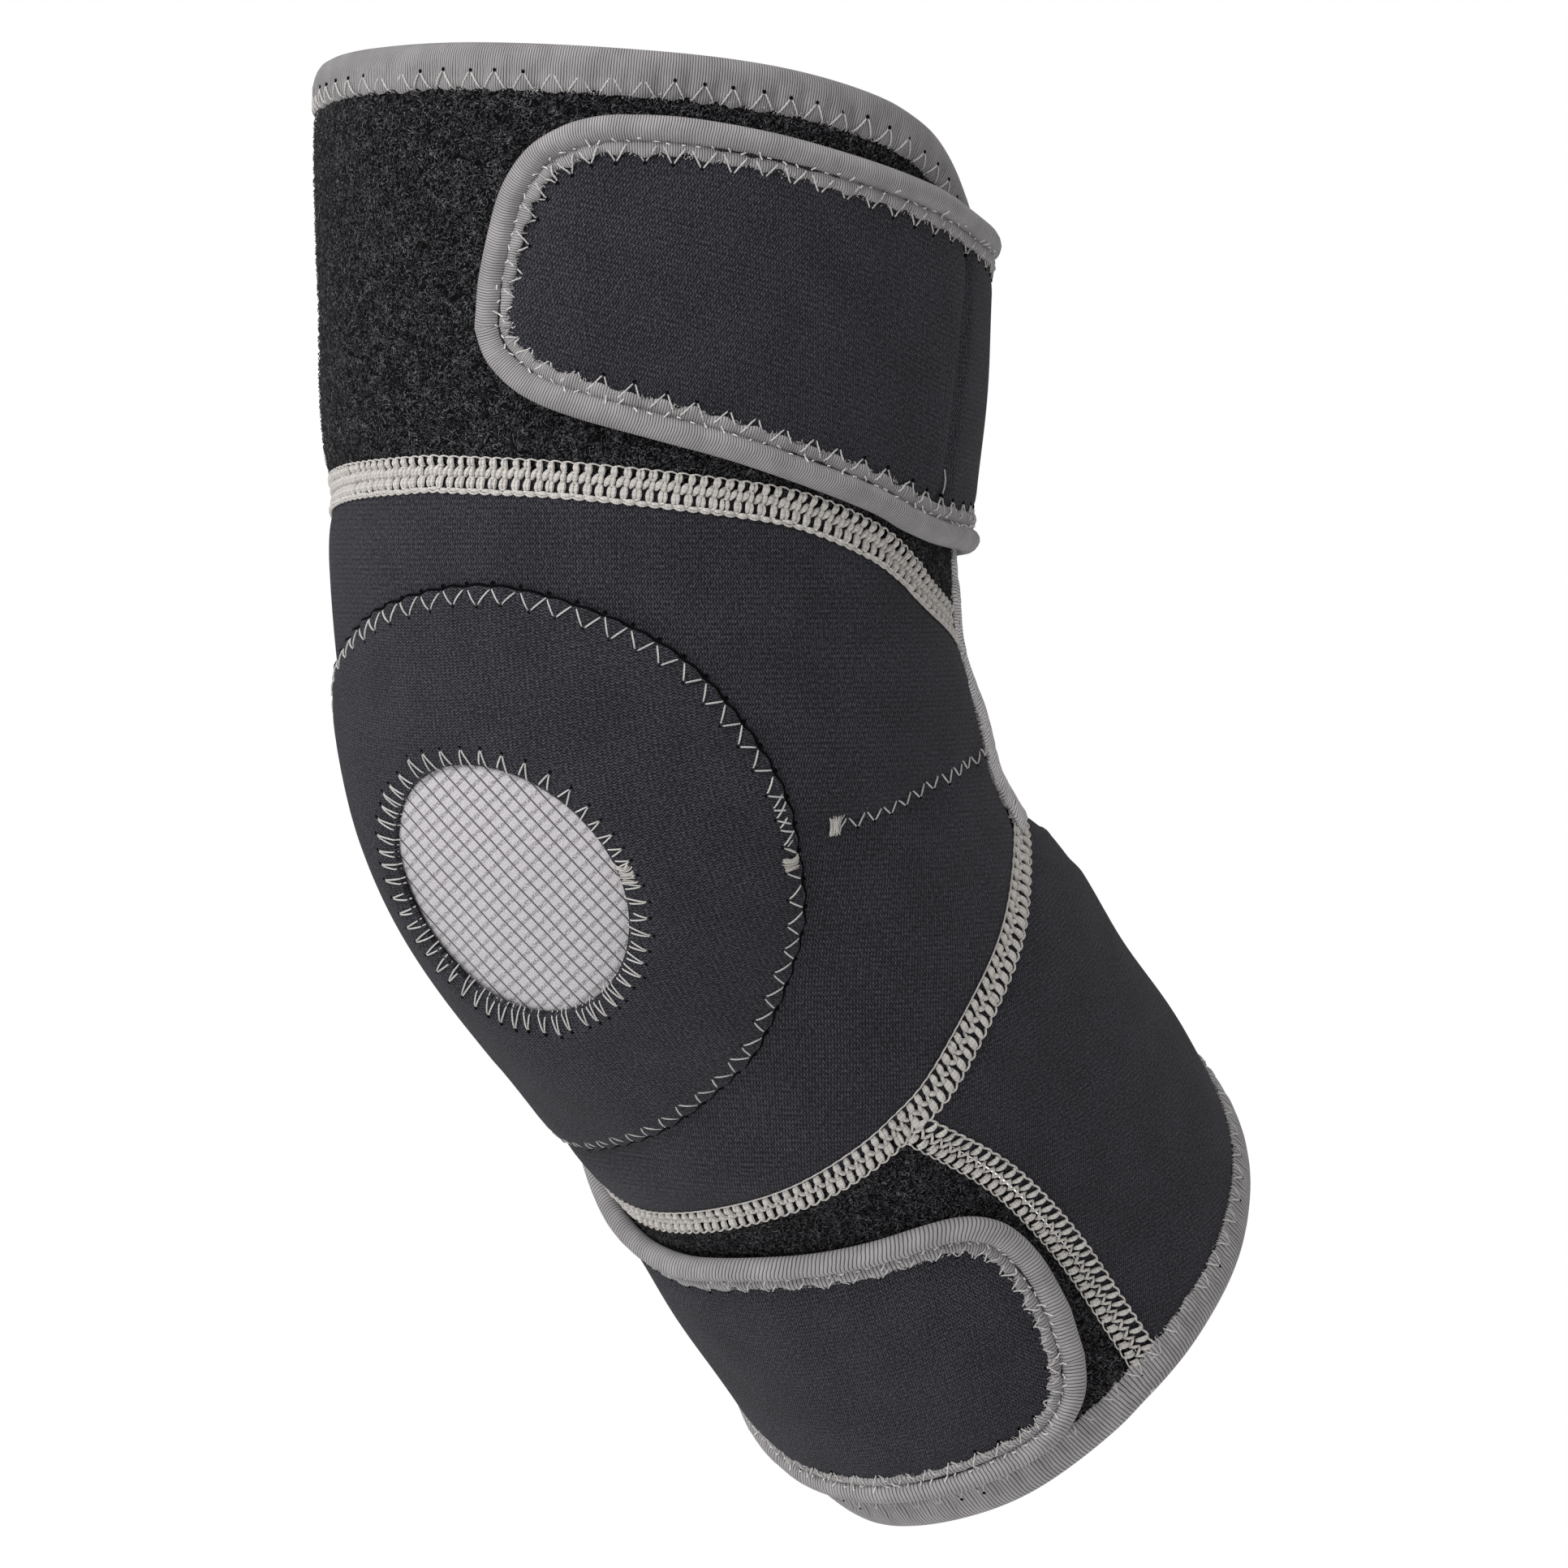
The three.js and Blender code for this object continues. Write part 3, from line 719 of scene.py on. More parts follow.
def jersey():
    new, shader, grain = cloth_material("charcoal jersey", 0.8, 0.03)
    knit = use(KNIT, grain)["Height"]
    tone = use(TONE, grain, Size=11.0)
    fine = between(noise(grain, 1.6, 3.0), 0.25, 0.75)
    # The knit's low parts are painted darker as shade; the fine noise, the tone and the lint are the jersey's
    # own colour.
    mixed = knit * 0.6 + fine * 0.4 + tone["Tone"] * 0.06 + tone["Lint"] * 0.2
    dress(shader, colours(between(mixed, 0.36, 0.96), JERSEY_DARK, JERSEY_LIGHT), knit, JERSEY_RELIEF)
    return new


def plush():
    new, shader, grain = cloth_material("loop plush", 0.95, 0.01, 0.08)
    tone = use(TONE, grain, Size=5.0)["Tone"]
    # The pale curls on the near-black ground are painted highlights of the loops, dimmed by the tone.
    curls = between(abs(noise(grain, 0.85, 2.0, 1.5) - 0.5), 0.05, 0.01)
    mixed = curls * (tone * 0.4 + 0.6)
    dress(shader, colours(mixed, PLUSH_DARK, PLUSH_LIGHT), curls, PLUSH_RELIEF)
    return new


def pile():
    new, shader, grain = cloth_material("plush fibres", 0.7, 0.0)
    shade = components(grain)[2]
    tone = use(TONE, grain, Size=3.0)["Tone"]
    paint(shader, colours(shade ** 2.0 * (tone + 0.5), PILE_DARK, PILE_LIGHT))
    return new


def mesh_material():
    """Pale cells in soft bands one way, and thin dotted lines the other way."""
    new, shader, grain = cloth_material("pale mesh", 0.6, 0.1)
    quarter = {"Vector": grain, "Angle": np.pi / 2}
    turned = Signal(node(grain.tree, "VectorRotate", quarter, rotation_type="Z_AXIS").outputs[0])
    lines = use(RIBS, grain, Pitch=LINE_PITCH, Waver=0.12)["Height"]
    bands = use(RIBS, turned, Pitch=BAND_PITCH, Waver=0.15)["Height"]
    dots = use(RIBS, turned, Pitch=DOT_PITCH, Waver=0.1)["Groove"]
    line = between(lines, 0.5, 0.28) * (1.0 - dots * 0.7)
    speck = between(noise(grain, 2.6, 2.0), 0.35, 0.65)
    stripe = between(bands, 0.9, 0.45) * (speck + 0.3)
    weave = maths(grain.tree, "MAXIMUM", stripe * 0.35 + speck * 0.25, line)
    dress(shader, colours(weave, MESH_LIGHT, MESH_DARK), weave, MESH_RELIEF)
    return new


JERSEY, PLUSH, PILE, MESH = jersey(), plush(), pile(), mesh_material()
print("cloth finishes:", len(bpy.data.materials))

# %% Tape and thread finishes
GREY, TOP_SHADED_GREY, SIDE_LIT_GREY = (0.42, 0.399, 0.406), (0.36, 0.342, 0.348), (0.7, 0.67, 0.68)
GROOVE_SHADE = (0.03, 0.028, 0.029)
FOAM_AND_SHADE_LIGHT, FOAM_AND_SHADE_DARK = (0.006, 0.006, 0.007), (0.002, 0.002, 0.002)


def tape_material(name, pitch, waver, light):
    new, shader, grain = cloth_material(name, 0.75, 0.06)
    ribs = use(RIBS, grain, Pitch=pitch, Waver=waver)
    tone = use(TONE, grain, Size=6.0)
    # The grooves between the ribs are painted dark as shade; the tone and lint are the tape's own colour.
    dark = ribs["Groove"] + tone["Tone"] * 0.2 - tone["Lint"] * 0.12
    dress(shader, colours(dark, light, GROOVE_SHADE), ribs["Height"], TAPE_RELIEF)
    return new


def thread(name, light, dark, sheen=0.15):
    new, shader, grain = cloth_material(name, 0.6, sheen, sheen)
    twist = use(RIBS, grain, Pitch=0.7, Lean=0.7, Waver=0.1)
    tone = use(TONE, grain, Size=4.0)["Tone"]
    # The twist's grooves are painted darker as shade; the tone and each strand's own lightness are the
    # thread's colour.
    shade = twist["Groove"] * 0.35 + tone * 0.3 + components(grain)[2] * 0.2
    dress(shader, colours(shade, light, dark), twist["Height"], THREAD_RELIEF)
    return new


FINE_TAPE = tape_material("grey tape", 0.52, 0.25, GREY)
# The top binding is the same grey tape, painted darker as shade.
TOP_SHADED_TAPE = tape_material("top grey tape with painted shade", 0.53, 0.25, TOP_SHADED_GREY)
WIDE_TAPE = tape_material("stretched grey tape", 0.85, 0.35, GREY)
# The lateral tape is painted paler grey as light on the side that faces the lamp; its ragged lip and fuzz are
# real.
FRAYED_SIDE_LIT_TAPE = tape_material("frayed grey tape with painted side light", 0.6, 0.9, SIDE_LIT_GREY)
SEAM_THREAD = thread("seam thread", (0.7, 0.665, 0.63), (0.3, 0.28, 0.26))
# Brighter thread: on the seams' knots its brightness is a painted highlight, and the crease stitches use it
# too.
BRIGHT_THREAD = thread("tight thread", (0.88, 0.86, 0.83), (0.5, 0.48, 0.46))
THREAD = thread("zigzag thread", (0.72, 0.7, 0.68), (0.26, 0.25, 0.24))
# Near-black foam: the ring's real foam underneath, and painted shade of the crevice on its outer edge rows.
FOAM_AND_SHADE = thread("foam and painted edge shade", FOAM_AND_SHADE_LIGHT, FOAM_AND_SHADE_DARK, 0.0)
# Dark plugs in the needle holes are painted shade of the holes.
HOLE_SHADE = thread("painted needle hole shade", FOAM_AND_SHADE_LIGHT, FOAM_AND_SHADE_DARK, 0.0)
print("materials:", len(bpy.data.materials))

# %% [markdown]
# ## Panels
# Four panels meet at flat seams: plush above the knee and on the shin, jersey over the knee and round the
# calf. On a real support they are cut flat and stretch over the leg, which hides most wrinkles, so the
# cloth is laid straight on the leg here. A cloth simulation would find nearly the same shape, slower.

# %% Loop panels, knee panel and calf panel
LOOP_COLUMNS, LOOP_ROWS = 170, 52
KNEE_COLUMNS, KNEE_ROWS = 340, 40
SHIN_COLUMNS, CALF_COLUMNS, SHIN_ROWS = 100, 120, 50
OUTLINE_POINTS, LONG_EDGE_POINTS, SIDE_POINTS, CALF_TOP_POINTS = 200, 300, 30, 90
BESIDE_KNEE = LATERAL_EDGE[3:], MEDIAL_EDGE[2:]
MESH_LEDGE = 4
PRESS = 0.7
PANEL_GRIP = (6, 11)
THREAD_DEPTH = 1.3
kneecap_size = np.array([np.linalg.norm(way) for way in directions(KNEECAP)[:2]])


def off_kneecap(angle, radius):
    """Places on a circle round the kneecap with its real radius on the cloth."""
    arm = np.stack([np.cos(angle), np.sin(angle)], -1) * np.asarray(radius)[..., None]
    return KNEECAP + arm / kneecap_size


def rays(outline, radius, shares):
    """Lines of places from each place of an outline to a circle round the kneecap."""
    arm = (outline - KNEECAP) * kneecap_size
    reached = off_kneecap(np.arctan2(arm[:, 1], arm[:, 0]), radius)
    return outline[:, None] + (reached - outline)[:, None] * shares[:, None]


def ease(value, start, end):
    t = np.clip((value - start) / (end - start), 0, 1)
    return t * t * (3 - 2 * t)


def pressed(grid, line):
    """Cloth face of a panel, flattened where tape grips its edge."""
    return relief(grid) - PRESS * (1 - ease(distance_to(line, grid), *PANEL_GRIP))


def panel_lift(places):
    """Height of a panel's inner face where no thread pulls it."""
    return waves(places) - NEOPRENE


def inner_face(grid):
    """Height of a panel's inner face, always below the thread that is sewn into it."""
    return np.minimum(panel_lift(grid), relief(grid) - THREAD_DEPTH)


def panel(name, grid, gripped, materials, grain=None, wraps=False):
    """A panel's cloth over a grid of places, with the line that tape grips."""
    return sheet(name, grid, inner_face(grid), pressed(grid, gripped), materials, grain, wraps)


def branch_edge(side):
    """The seam between the two shin panels, on one side of it."""
    line = curve(BRANCH_SEAM, SHIN_ROWS) + (side * SEAM / 2, 0)
    line[0, 1] = hem(line[0, 0])
    line[-1, 1] = lower_seam(line[-1, 0]) - SEAM / 2
    return line


loop_bottom = edge(upper_seam, *UPPER_ENDS, LOOP_COLUMNS, SEAM / 2)
loop_grid = ruled(loop_bottom, edge(rim, *ends(RIM), LOOP_COLUMNS), LOOP_ROWS)
upper_loop = panel("upper_loop_panel_cloth", loop_grid, RIM_LINE, [PLUSH, JERSEY])

knee_bottom = edge(lower_seam, *ends(LOWER_SEAM), OUTLINE_POINTS, SEAM / 2)
knee_top = edge(upper_seam, *UPPER_ENDS, OUTLINE_POINTS, -SEAM / 2)
knee_outline = np.concatenate([knee_bottom, knee_top[::-1], knee_bottom[:1]])
knee_outline = respaced(knee_outline, KNEE_COLUMNS + 1)[:-1]
knee_shares = 1 - np.sin(np.linspace(0, np.pi / 2, KNEE_ROWS))[::-1]
knee_grid = rays(knee_outline, KNEECAP_RADIUS + MESH_LEDGE, knee_shares)
knee_sides = np.concatenate([curve(rows, SIDE_POINTS) for rows in BESIDE_KNEE])
knee_grain = cloth_grain(knee_grid)
knee_grain[..., 1] = leg(knee_grid)[..., 2]
knee = panel("knee_panel_cloth", knee_grid, knee_sides, [JERSEY], knee_grain, wraps=True)

HEM_START, HEM_END = ends(HEM)
HEM_LINE = edge(hem, HEM_START, HEM_END, LONG_EDGE_POINTS)
loop_branch, calf_branch = branch_edge(-1), branch_edge(1)
loop_hem = edge(hem, HEM_START, loop_branch[0, 0], SHIN_COLUMNS)
loop_top = edge(lower_seam, HEM_START, loop_branch[-1, 0], SHIN_COLUMNS, -SEAM / 2)
shin_grid = patch(loop_hem, loop_top, straight(loop_hem[0], loop_top[0], SHIN_ROWS), loop_branch)
lower_loop = panel("lower_loop_panel_cloth", shin_grid, HEM_LINE, [PLUSH, JERSEY])

calf_hem = edge(hem, calf_branch[0, 0], HEM_END, CALF_COLUMNS)
calf_head = edge(calf_top, calf_branch[-1, 0], HEM_END, CALF_COLUMNS, -SEAM / 2)
calf_grid = patch(calf_hem, calf_head, calf_branch, straight(calf_hem[-1], calf_head[-1], SHIN_ROWS))
calf_edges = np.concatenate([HEM_LINE, curve(CALF_TOP, CALF_TOP_POINTS)])
calf = panel("calf_panel_cloth", calf_grid, calf_edges, [JERSEY])

# %% [markdown]
# ## Kneecap ring and its mesh window
# A ring of thicker foam is sewn on round the kneecap, and a pale mesh closes the opening behind it. The
# ring is a closed body whose top swells between its two rows of zigzag and rolls down into the opening.

# %% Ring and mesh
PAD_TOP, PAD_EDGE_TOP, PAD_LIP = 2.3, 1.5, 0.4
PAD_COLUMNS, PAD_ROWS = 480, 26
PAD_PITCH = 5.8
PAD_BULGE, PAD_PINCH, PINCH_WIDTH = 0.4, 0.7, 3
PAD_SLOPE = 8
LIP_ROLL = (-1.5, 5)
CUT_ROUNDING, CUT_WIDTH = 0.5, 0.9
PAD_CLEARANCE, LIP_DROP, LIP_WIDTH = 0.45, 0.7, 4
PAD_THINNEST = 0.25
# Rows of the ring's top next to its outer edge, painted dark as the crevice's shade.
EDGE_SHADE_ROWS = 2
MESH_STEPS = 56
MESH_TURN = np.radians(30.8)
MESH_RIPPLE, MESH_DEPTH, MESH_THICKNESS = 0.12, 0.5, 0.7
RIPPLE_X, RIPPLE_Y, RIPPLE_START = 9, 7, 1

pad_shares = (1 - np.cos(np.linspace(0, np.pi, PAD_ROWS))) / 2


def closed_curve(rows, count):
    """A smooth curve through the rows and back to the first, without a corner there."""
    thrice = curve(np.vstack([rows, rows, rows, rows[:1]]), 3 * CURVE_STEPS * len(rows) + 1)
    steps = np.linalg.norm(thrice - rows[0], axis=1)
    third = len(thrice) // 3
    start = third // 2 + np.argmin(steps[third // 2:third + third // 2])
    end = start + third // 2 + np.argmin(steps[start + third // 2:start + third + third // 2])
    return respaced(thrice[start:end + 1], count)


pad_outline = closed_curve(np.array(PAD_EDGE, float), PAD_COLUMNS + 1)
PAD_LINE = SewnLine(pad_outline[::-1], relief, closed=True)
pad_stitches = round(PAD_LINE.length / PAD_PITCH)
pad_turn = np.linspace(pad_stitches, 0, PAD_COLUMNS, endpoint=False)[:, None]
pad_beat = 0.5 + 0.5 * np.cos(TURN * pad_turn)
pad_arm = unit((pad_outline[:-1] - KNEECAP) * kneecap_size) / kneecap_size
pad_grid = rays(pad_outline[:-1] + pad_arm * PAD_BULGE * (1 - pad_beat), KNEECAP_RADIUS, pad_shares)
pad_points = leg(pad_grid)
ray_length = np.linalg.norm(pad_points[:, -1] - pad_points[:, 0], axis=1)[:, None]
from_outside, from_hole = ray_length * pad_shares, ray_length * (1 - pad_shares)


def pad_height(outside, hole):
    """Height of the ring's top by the distances from its cut edge and from the opening."""
    at_edge = PAD_EDGE_TOP + (PAD_TOP - PAD_EDGE_TOP) * ease(outside, 0, PAD_SLOPE)
    rolled = (PAD_TOP - PAD_LIP) * (1 - ease(hole, *LIP_ROLL))
    return at_edge - rolled - CUT_ROUNDING * (1 - ease(outside, 0, CUT_WIDTH))


pad_base = relief(pad_grid)
pad_bottom = pad_base + PAD_CLEARANCE - LIP_DROP * (1 - ease(from_hole, 0, LIP_WIDTH))
pad_pinch = PAD_PINCH * pad_beat * (1 - ease(from_outside, 0, PINCH_WIDTH))
pad_top = np.maximum(pad_base + pad_height(from_outside, from_hole) - pad_pinch, pad_bottom + PAD_THINNEST)
pad_grain = cloth_grain(pad_grid)[..., [1, 0, 2]]
pad = sheet("patella_pad_foam", pad_grid, pad_bottom, pad_top, [JERSEY, FOAM_AND_SHADE], pad_grain, True, EDGE_SHADE_ROWS)

side = np.linspace(-1, 1, MESH_STEPS)
disc_x, disc_y = np.meshgrid(side, side, indexing="ij")
flat_x, flat_y = disc_x * np.sqrt(1 - disc_y ** 2 / 2), disc_y * np.sqrt(1 - disc_x ** 2 / 2)
mesh_radius = KNEECAP_RADIUS + MESH_LEDGE - GAP
mesh_grid = off_kneecap(np.arctan2(flat_y, flat_x), np.hypot(flat_x, flat_y) * mesh_radius)
view_plane = np.array((to_right, to_top)).T
pull = np.array([unit(way) for way in directions(KNEECAP)[:2]]) @ view_plane
pulled = (leg(mesh_grid) - leg(KNEECAP)) @ view_plane @ np.linalg.inv(pull)
mesh_grain = np.stack([
    pulled[..., 0] * np.cos(MESH_TURN) + pulled[..., 1] * np.sin(MESH_TURN),
    pulled[..., 1] * np.cos(MESH_TURN) - pulled[..., 0] * np.sin(MESH_TURN),
    np.zeros_like(flat_x),
], -1)
mesh_face = MESH_RIPPLE * np.sin(flat_x * RIPPLE_X + RIPPLE_START) * np.cos(flat_y * RIPPLE_Y) - MESH_DEPTH
mesh = sheet("patella_mesh_cloth", mesh_grid, mesh_face - MESH_THICKNESS, mesh_face, [MESH], mesh_grain)

# %% [markdown]
# ## Straps
# Each strap is sewn to one side, goes round the back and lies on the plush, where hooks under its tab hold
# it. The tape round its edge squeezes the foam, so the strap swells in the middle. The upper strap is
# joined from two lengths, which shows as a crease near the side of the leg.

# %% Upper and lower strap
STRAP_REST, STRAP_OVER_TAPE = 0.9, 1.6
STRAP_ROWS, UPPER_COLUMNS, LOWER_COLUMNS, JOIN_POINTS = 40, 190, 160, 60
STRAP_SQUEEZE, STRAP_WAVES = 0.95, 0.09
STRAP_GRIP = (5, 11)
OVER_SIDE_TAPE, DOWN_TO_ROOT = (88, 104), (146, 172)
UP_FROM_ROOT, OFF_HEM_TAPE = (238, 263), (364, 380)
JOIN_DEPTH, JOIN_WIDTH = 1.2, 1.6


def upper_strap_lift(places):
    """Height of the upper strap's inner face: over the side tape, then down to its root's level."""
    around = places[..., 0]
    over_edge = (STRAP_OVER_TAPE - STRAP_REST) * ease(around, *OVER_SIDE_TAPE)
    return STRAP_REST + over_edge - (STRAP_OVER_TAPE + NEOPRENE) * ease(around, *DOWN_TO_ROOT)


def lower_strap_lift(places):
    """Height of the lower strap's inner face: up from its root over the hem's tape, then onto the plush."""
    around = places[..., 0]
    past_hem = (STRAP_OVER_TAPE - STRAP_REST) * ease(around, *OFF_HEM_TAPE)
    return (STRAP_OVER_TAPE + NEOPRENE) * ease(around, *UP_FROM_ROOT) - NEOPRENE - past_hem


def strap(name, bottom, top, lift, columns, joins=()):
    """A strap's cloth, its grid of places and its two long edges."""
    low, high = curve(bottom, columns), curve(top, columns)
    grid = ruled(low, high, STRAP_ROWS)
    border = np.concatenate([low, high[::-1]])
    face = lift(grid) + NEOPRENE - STRAP_SQUEEZE * (1 - ease(distance_to(border, grid), *STRAP_GRIP))
    face = face + waves(grid, STRAP_WAVES)
    for join in joins:
        face = face - valley(grid, *join)
    return sheet(name, grid, lift(grid), face, [JERSEY], strap_grain(grid)), grid, low, high


JOIN_LINE = curve(STRAP_JOIN, JOIN_POINTS)
upper_strap, upper_grid, upper_low, upper_high = strap(
    "upper_strap_cloth", UPPER_STRAP_BOTTOM, UPPER_STRAP_TOP, upper_strap_lift, UPPER_COLUMNS,
    [(JOIN_LINE, JOIN_DEPTH, JOIN_WIDTH)])
lower_strap, lower_grid, lower_low, lower_high = strap(
    "lower_strap_cloth", LOWER_STRAP_BOTTOM, LOWER_STRAP_TOP, lower_strap_lift, LOWER_COLUMNS)

# %% [markdown]
# ## Bindings
# Ribbed elastic tape is folded over each cut edge and held by a zigzag. On the panels it lies nearly flat.
# On the straps the zigzag presses a crease along it: outside the crease the tape stands up as a round bead,
# inside it lies flat and ends in a slightly ragged lip. Each tape is its cross-section swept along the edge,
# and the section breathes with the stitches instead of staying the same.

# %% Tapes
STITCH, STITCH_STEPS = 5.9, 10
FLAT_TAPE = np.array([  # across the tape from the cut edge, height above the cloth's inner face
    (8.1, 2.35), (7.7, 2.7), (6.9, 2.95), (5.7, 3.2), (4.3, 3.4), (2.9, 3.45), (1.5, 3.3), (0.4, 2.95),
    (-0.5, 2.35), (-1.0, 1.5), (-0.95, 0.5), (-0.45, -0.3), (0.5, -0.8), (2.0, -1.0), (7.4, -1.0),
    (7.4, -0.5), (2.0, -0.45), (0.5, -0.1), (-0.3, 0.7), (-0.35, 1.6), (0.3, 2.1), (1.6, 2.3), (4.5, 2.3),
    (7.9, 2.15)])
BEAD_TAPE = np.array([
    (6.5, 1.9), (6.3, 2.2), (5.7, 2.42), (4.7, 2.35), (4.0, 1.75), (3.7, 2.3), (3.15, 3.1), (2.4, 3.6),
    (1.5, 3.72), (0.6, 3.45), (-0.3, 2.85), (-0.9, 2.0), (-1.1, 1.0), (-0.8, 0.1), (0.0, -0.6), (1.2, -1.0),
    (3.0, -1.05), (5.8, -1.05), (5.8, -0.55), (1.2, -0.5), (-0.1, 0.2), (-0.45, 1.1), (0.1, 1.6),
    (1.2, 1.75), (4.0, 1.6), (6.3, 1.7)])
FLAT_OUTSIDE, BEAD_OUTSIDE = 15, 18
FLAT_CREASE, BEAD_CREASE, CREASE_WIDTH = 4.9, 4.0, 1.5
FLAT = (FLAT_TAPE, FLAT_OUTSIDE, FLAT_CREASE)
BEAD = (BEAD_TAPE, BEAD_OUTSIDE, BEAD_CREASE)
LIP_START, LIP_RUN = 0.2, 1.4
FRAY_SPAN, SWELL_SPAN, SWELL_HEIGHT, SWELL_RUN = 5, 25, 0.12, 3
PUFF_REST, PUFF_SWING = 0.3, 0.6


def stitches_on(line, pitch):
    return max(1, round(line.length / pitch))


def drift(steps, span, share):
    """Random values that change slowly along a tape, each the sum of a span of draws over a share."""
    return np.convolve(rng.normal(size=steps + span - 1), np.ones(span) / share, "valid")[:, None]


def tape(name, line, profile, material, bow, pucker, ragged, lobes):
    """Tape swept along a line. Its stitches gather its crease, and its lip puffs out between them."""
    section, outside, crease = profile
    count = stitches_on(line, STITCH)
    steps = count * STITCH_STEPS + 1
    corners = len(section)
    run = np.linspace(0, line.length, steps)[:, None]
    beat = np.cos(TURN * count * run / line.length)
    across, height = np.broadcast_to(section.T[:, None], (2, steps, corners)).copy()
    lip = np.clip((across - crease - LIP_START) / LIP_RUN, 0, 1)
    stray = drift(steps, FRAY_SPAN, FRAY_SPAN)
    outer = np.arange(corners) < outside
    sink = pucker * hill(across, crease, CREASE_WIDTH) * np.maximum(beat, 0) ** 2 * outer
    swell = SWELL_HEIGHT * drift(steps, SWELL_SPAN, np.sqrt(SWELL_SPAN)) * outer
    puff = lobes * lip * outer * (PUFF_REST - PUFF_SWING * beat)
    across = across + lip * (ragged * stray - lobes * beat)
    points = line.at(run, across, height - sink + puff + swell * np.clip(across / SWELL_RUN, 0, 1))
    numbers = np.arange(steps * corners).reshape(steps, corners)
    ahead = np.roll(numbers, -1, axis=1)
    walls = np.stack([numbers[:-1], ahead[:-1], ahead[1:], numbers[1:]], -1).reshape(-1, 4)
    caps = [numbers[0, ::-1].tolist(), numbers[-1].tolist()]
    around = np.concatenate([[0], np.cumsum(np.linalg.norm(np.diff(section, axis=0), axis=1))])
    ribs = run - bow * hill(section[:, 0], crease / 2, crease / 2) * outer
    grain = np.stack([ribs, np.broadcast_to(around, across.shape), lip], -1)
    return made(name, points.reshape(-1, 3), walls.tolist() + caps, [material], grain.reshape(-1, 3))


LATERAL_POINTS, MEDIAL_POINTS, CALF_TAPE_POINTS = 64, 60, 100
calf_tape_line = edge(calf_top, HEM_END, CALF_TAPE_START, CALF_TAPE_POINTS, -SEAM / 2)
RIM_TAPE = SewnLine(respaced(RIM_LINE[::-1], LONG_EDGE_POINTS), panel_lift)
UPPER_TAPE = SewnLine(np.concatenate([upper_high, upper_low[::-1]]), upper_strap_lift)
LOWER_TAPE = SewnLine(np.concatenate([lower_low, lower_high[::-1]]), lower_strap_lift)
HEM_TAPE = SewnLine(HEM_LINE, panel_lift)
LATERAL_TAPE = SewnLine(curve(LATERAL_EDGE + [LATERAL_TAPE_END], LATERAL_POINTS)[::-1], panel_lift)
MEDIAL_TAPE = SewnLine(curve(MEDIAL_EDGE, MEDIAL_POINTS), panel_lift)
CALF_TAPE = SewnLine(calf_tape_line, panel_lift)
TAPES = [  # edge, line, profile, finish, bow of the ribs, pucker, raggedness and lobes of the lip
    ("top", RIM_TAPE, FLAT, TOP_SHADED_TAPE, 0, 0.6, 0.35, 0.35),
    ("upper_strap", UPPER_TAPE, BEAD, FINE_TAPE, 0.4, 0.25, 0.45, 0.4),
    ("lower_strap", LOWER_TAPE, BEAD, WIDE_TAPE, 0.9, 0.25, 0.45, 0.25),
    ("bottom", HEM_TAPE, FLAT, WIDE_TAPE, 0, 0.6, 0.4, 0.35),
    ("lateral", LATERAL_TAPE, FLAT, FRAYED_SIDE_LIT_TAPE, 0, 0.5, 0.9, 0.35),
    ("medial", MEDIAL_TAPE, FLAT, FINE_TAPE, 0, 0.5, 0.4, 0.35),
    ("calf_top", CALF_TAPE, FLAT, FINE_TAPE, 0, 0.5, 0.4, 0.35),
]
bindings = [tape(f"{bound}_binding_tape", *row) for bound, *row in TAPES]

# %% [markdown]
# ## Zigzag stitches
# A zigzag machine swings its needle from side to side, so thread comes up at one hole, lies across the
# edge and goes down at the next. Each leg is a short tube that rises from its hole and dives into the next
# one, with small unevenness in length and place, because no machine feeds stretchy cloth evenly.

# %% Zigzags on the tapes
THREAD_RADIUS = 0.17
LEG_STEPS, LEG_REST, LEG_ARCH, LEG_DIVE = 7, 0.8, 0.15, 0.9
DIVE_POWER = 8
LEG_THINNEST, LEG_SWELLING = 0.75, 0.35
BURIED_SHARE = (0.3, 0.55)
DASH_STEPS, DASH_RADIUS, DASH_PITCH = 5, 0.16, 2.8
FUZZ_STEPS, FUZZ_RADIUS, FUZZ_SIDES = 3, 0.06, 3
HOLE_REACH, HOLE_SIDES = np.array((-0.6, 0.06)), 6


def zigzag(line, pitch, near, far, rest, start=0.0, end=None, share=1.0, stray=0.18, bury=0.0):
    """Two legs for each stitch, from two feet to a tip. A small share of the pitch makes narrow Vs."""
    end = line.length if end is None else end
    count = max(1, round((end - start) / pitch))
    step = (end - start) / count
    tips = start + (np.arange(count) + 0.5) * step + rng.normal(0, stray, count)
    feet = tips[:, None] + share * step / 2 * np.array((-1, 1)) + rng.normal(0, stray / 2, (count, 2))
    reach = far + rng.normal(0, stray, (count, 1, 1))
    t = np.linspace(0, 1, LEG_STEPS)
    run = (feet[..., None] * (1 - t) + tips[:, None, None] * t).reshape(-1, LEG_STEPS)
    across = near + rng.normal(0, stray, (count, 2, 1)) * (1 - t)
    across = (across * (1 - t) + reach * t).reshape(-1, LEG_STEPS)
    run = np.clip(run, 0, line.length)
    arch = LEG_ARCH * np.sin(np.pi * t)
    height = rest(across) + THREAD_RADIUS * LEG_REST + arch - LEG_DIVE * np.abs(2 * t - 1) ** DIVE_POWER
    height -= np.tile((0.0, bury), count)[:, None] * (1 - ease(t, *BURIED_SHARE))
    thickness = THREAD_RADIUS * (LEG_THINNEST + LEG_SWELLING * np.sin(np.pi * t))
    return tubes(line.at(run, across, height), line.out(run, across), thickness), tips, reach[:, 0, 0]


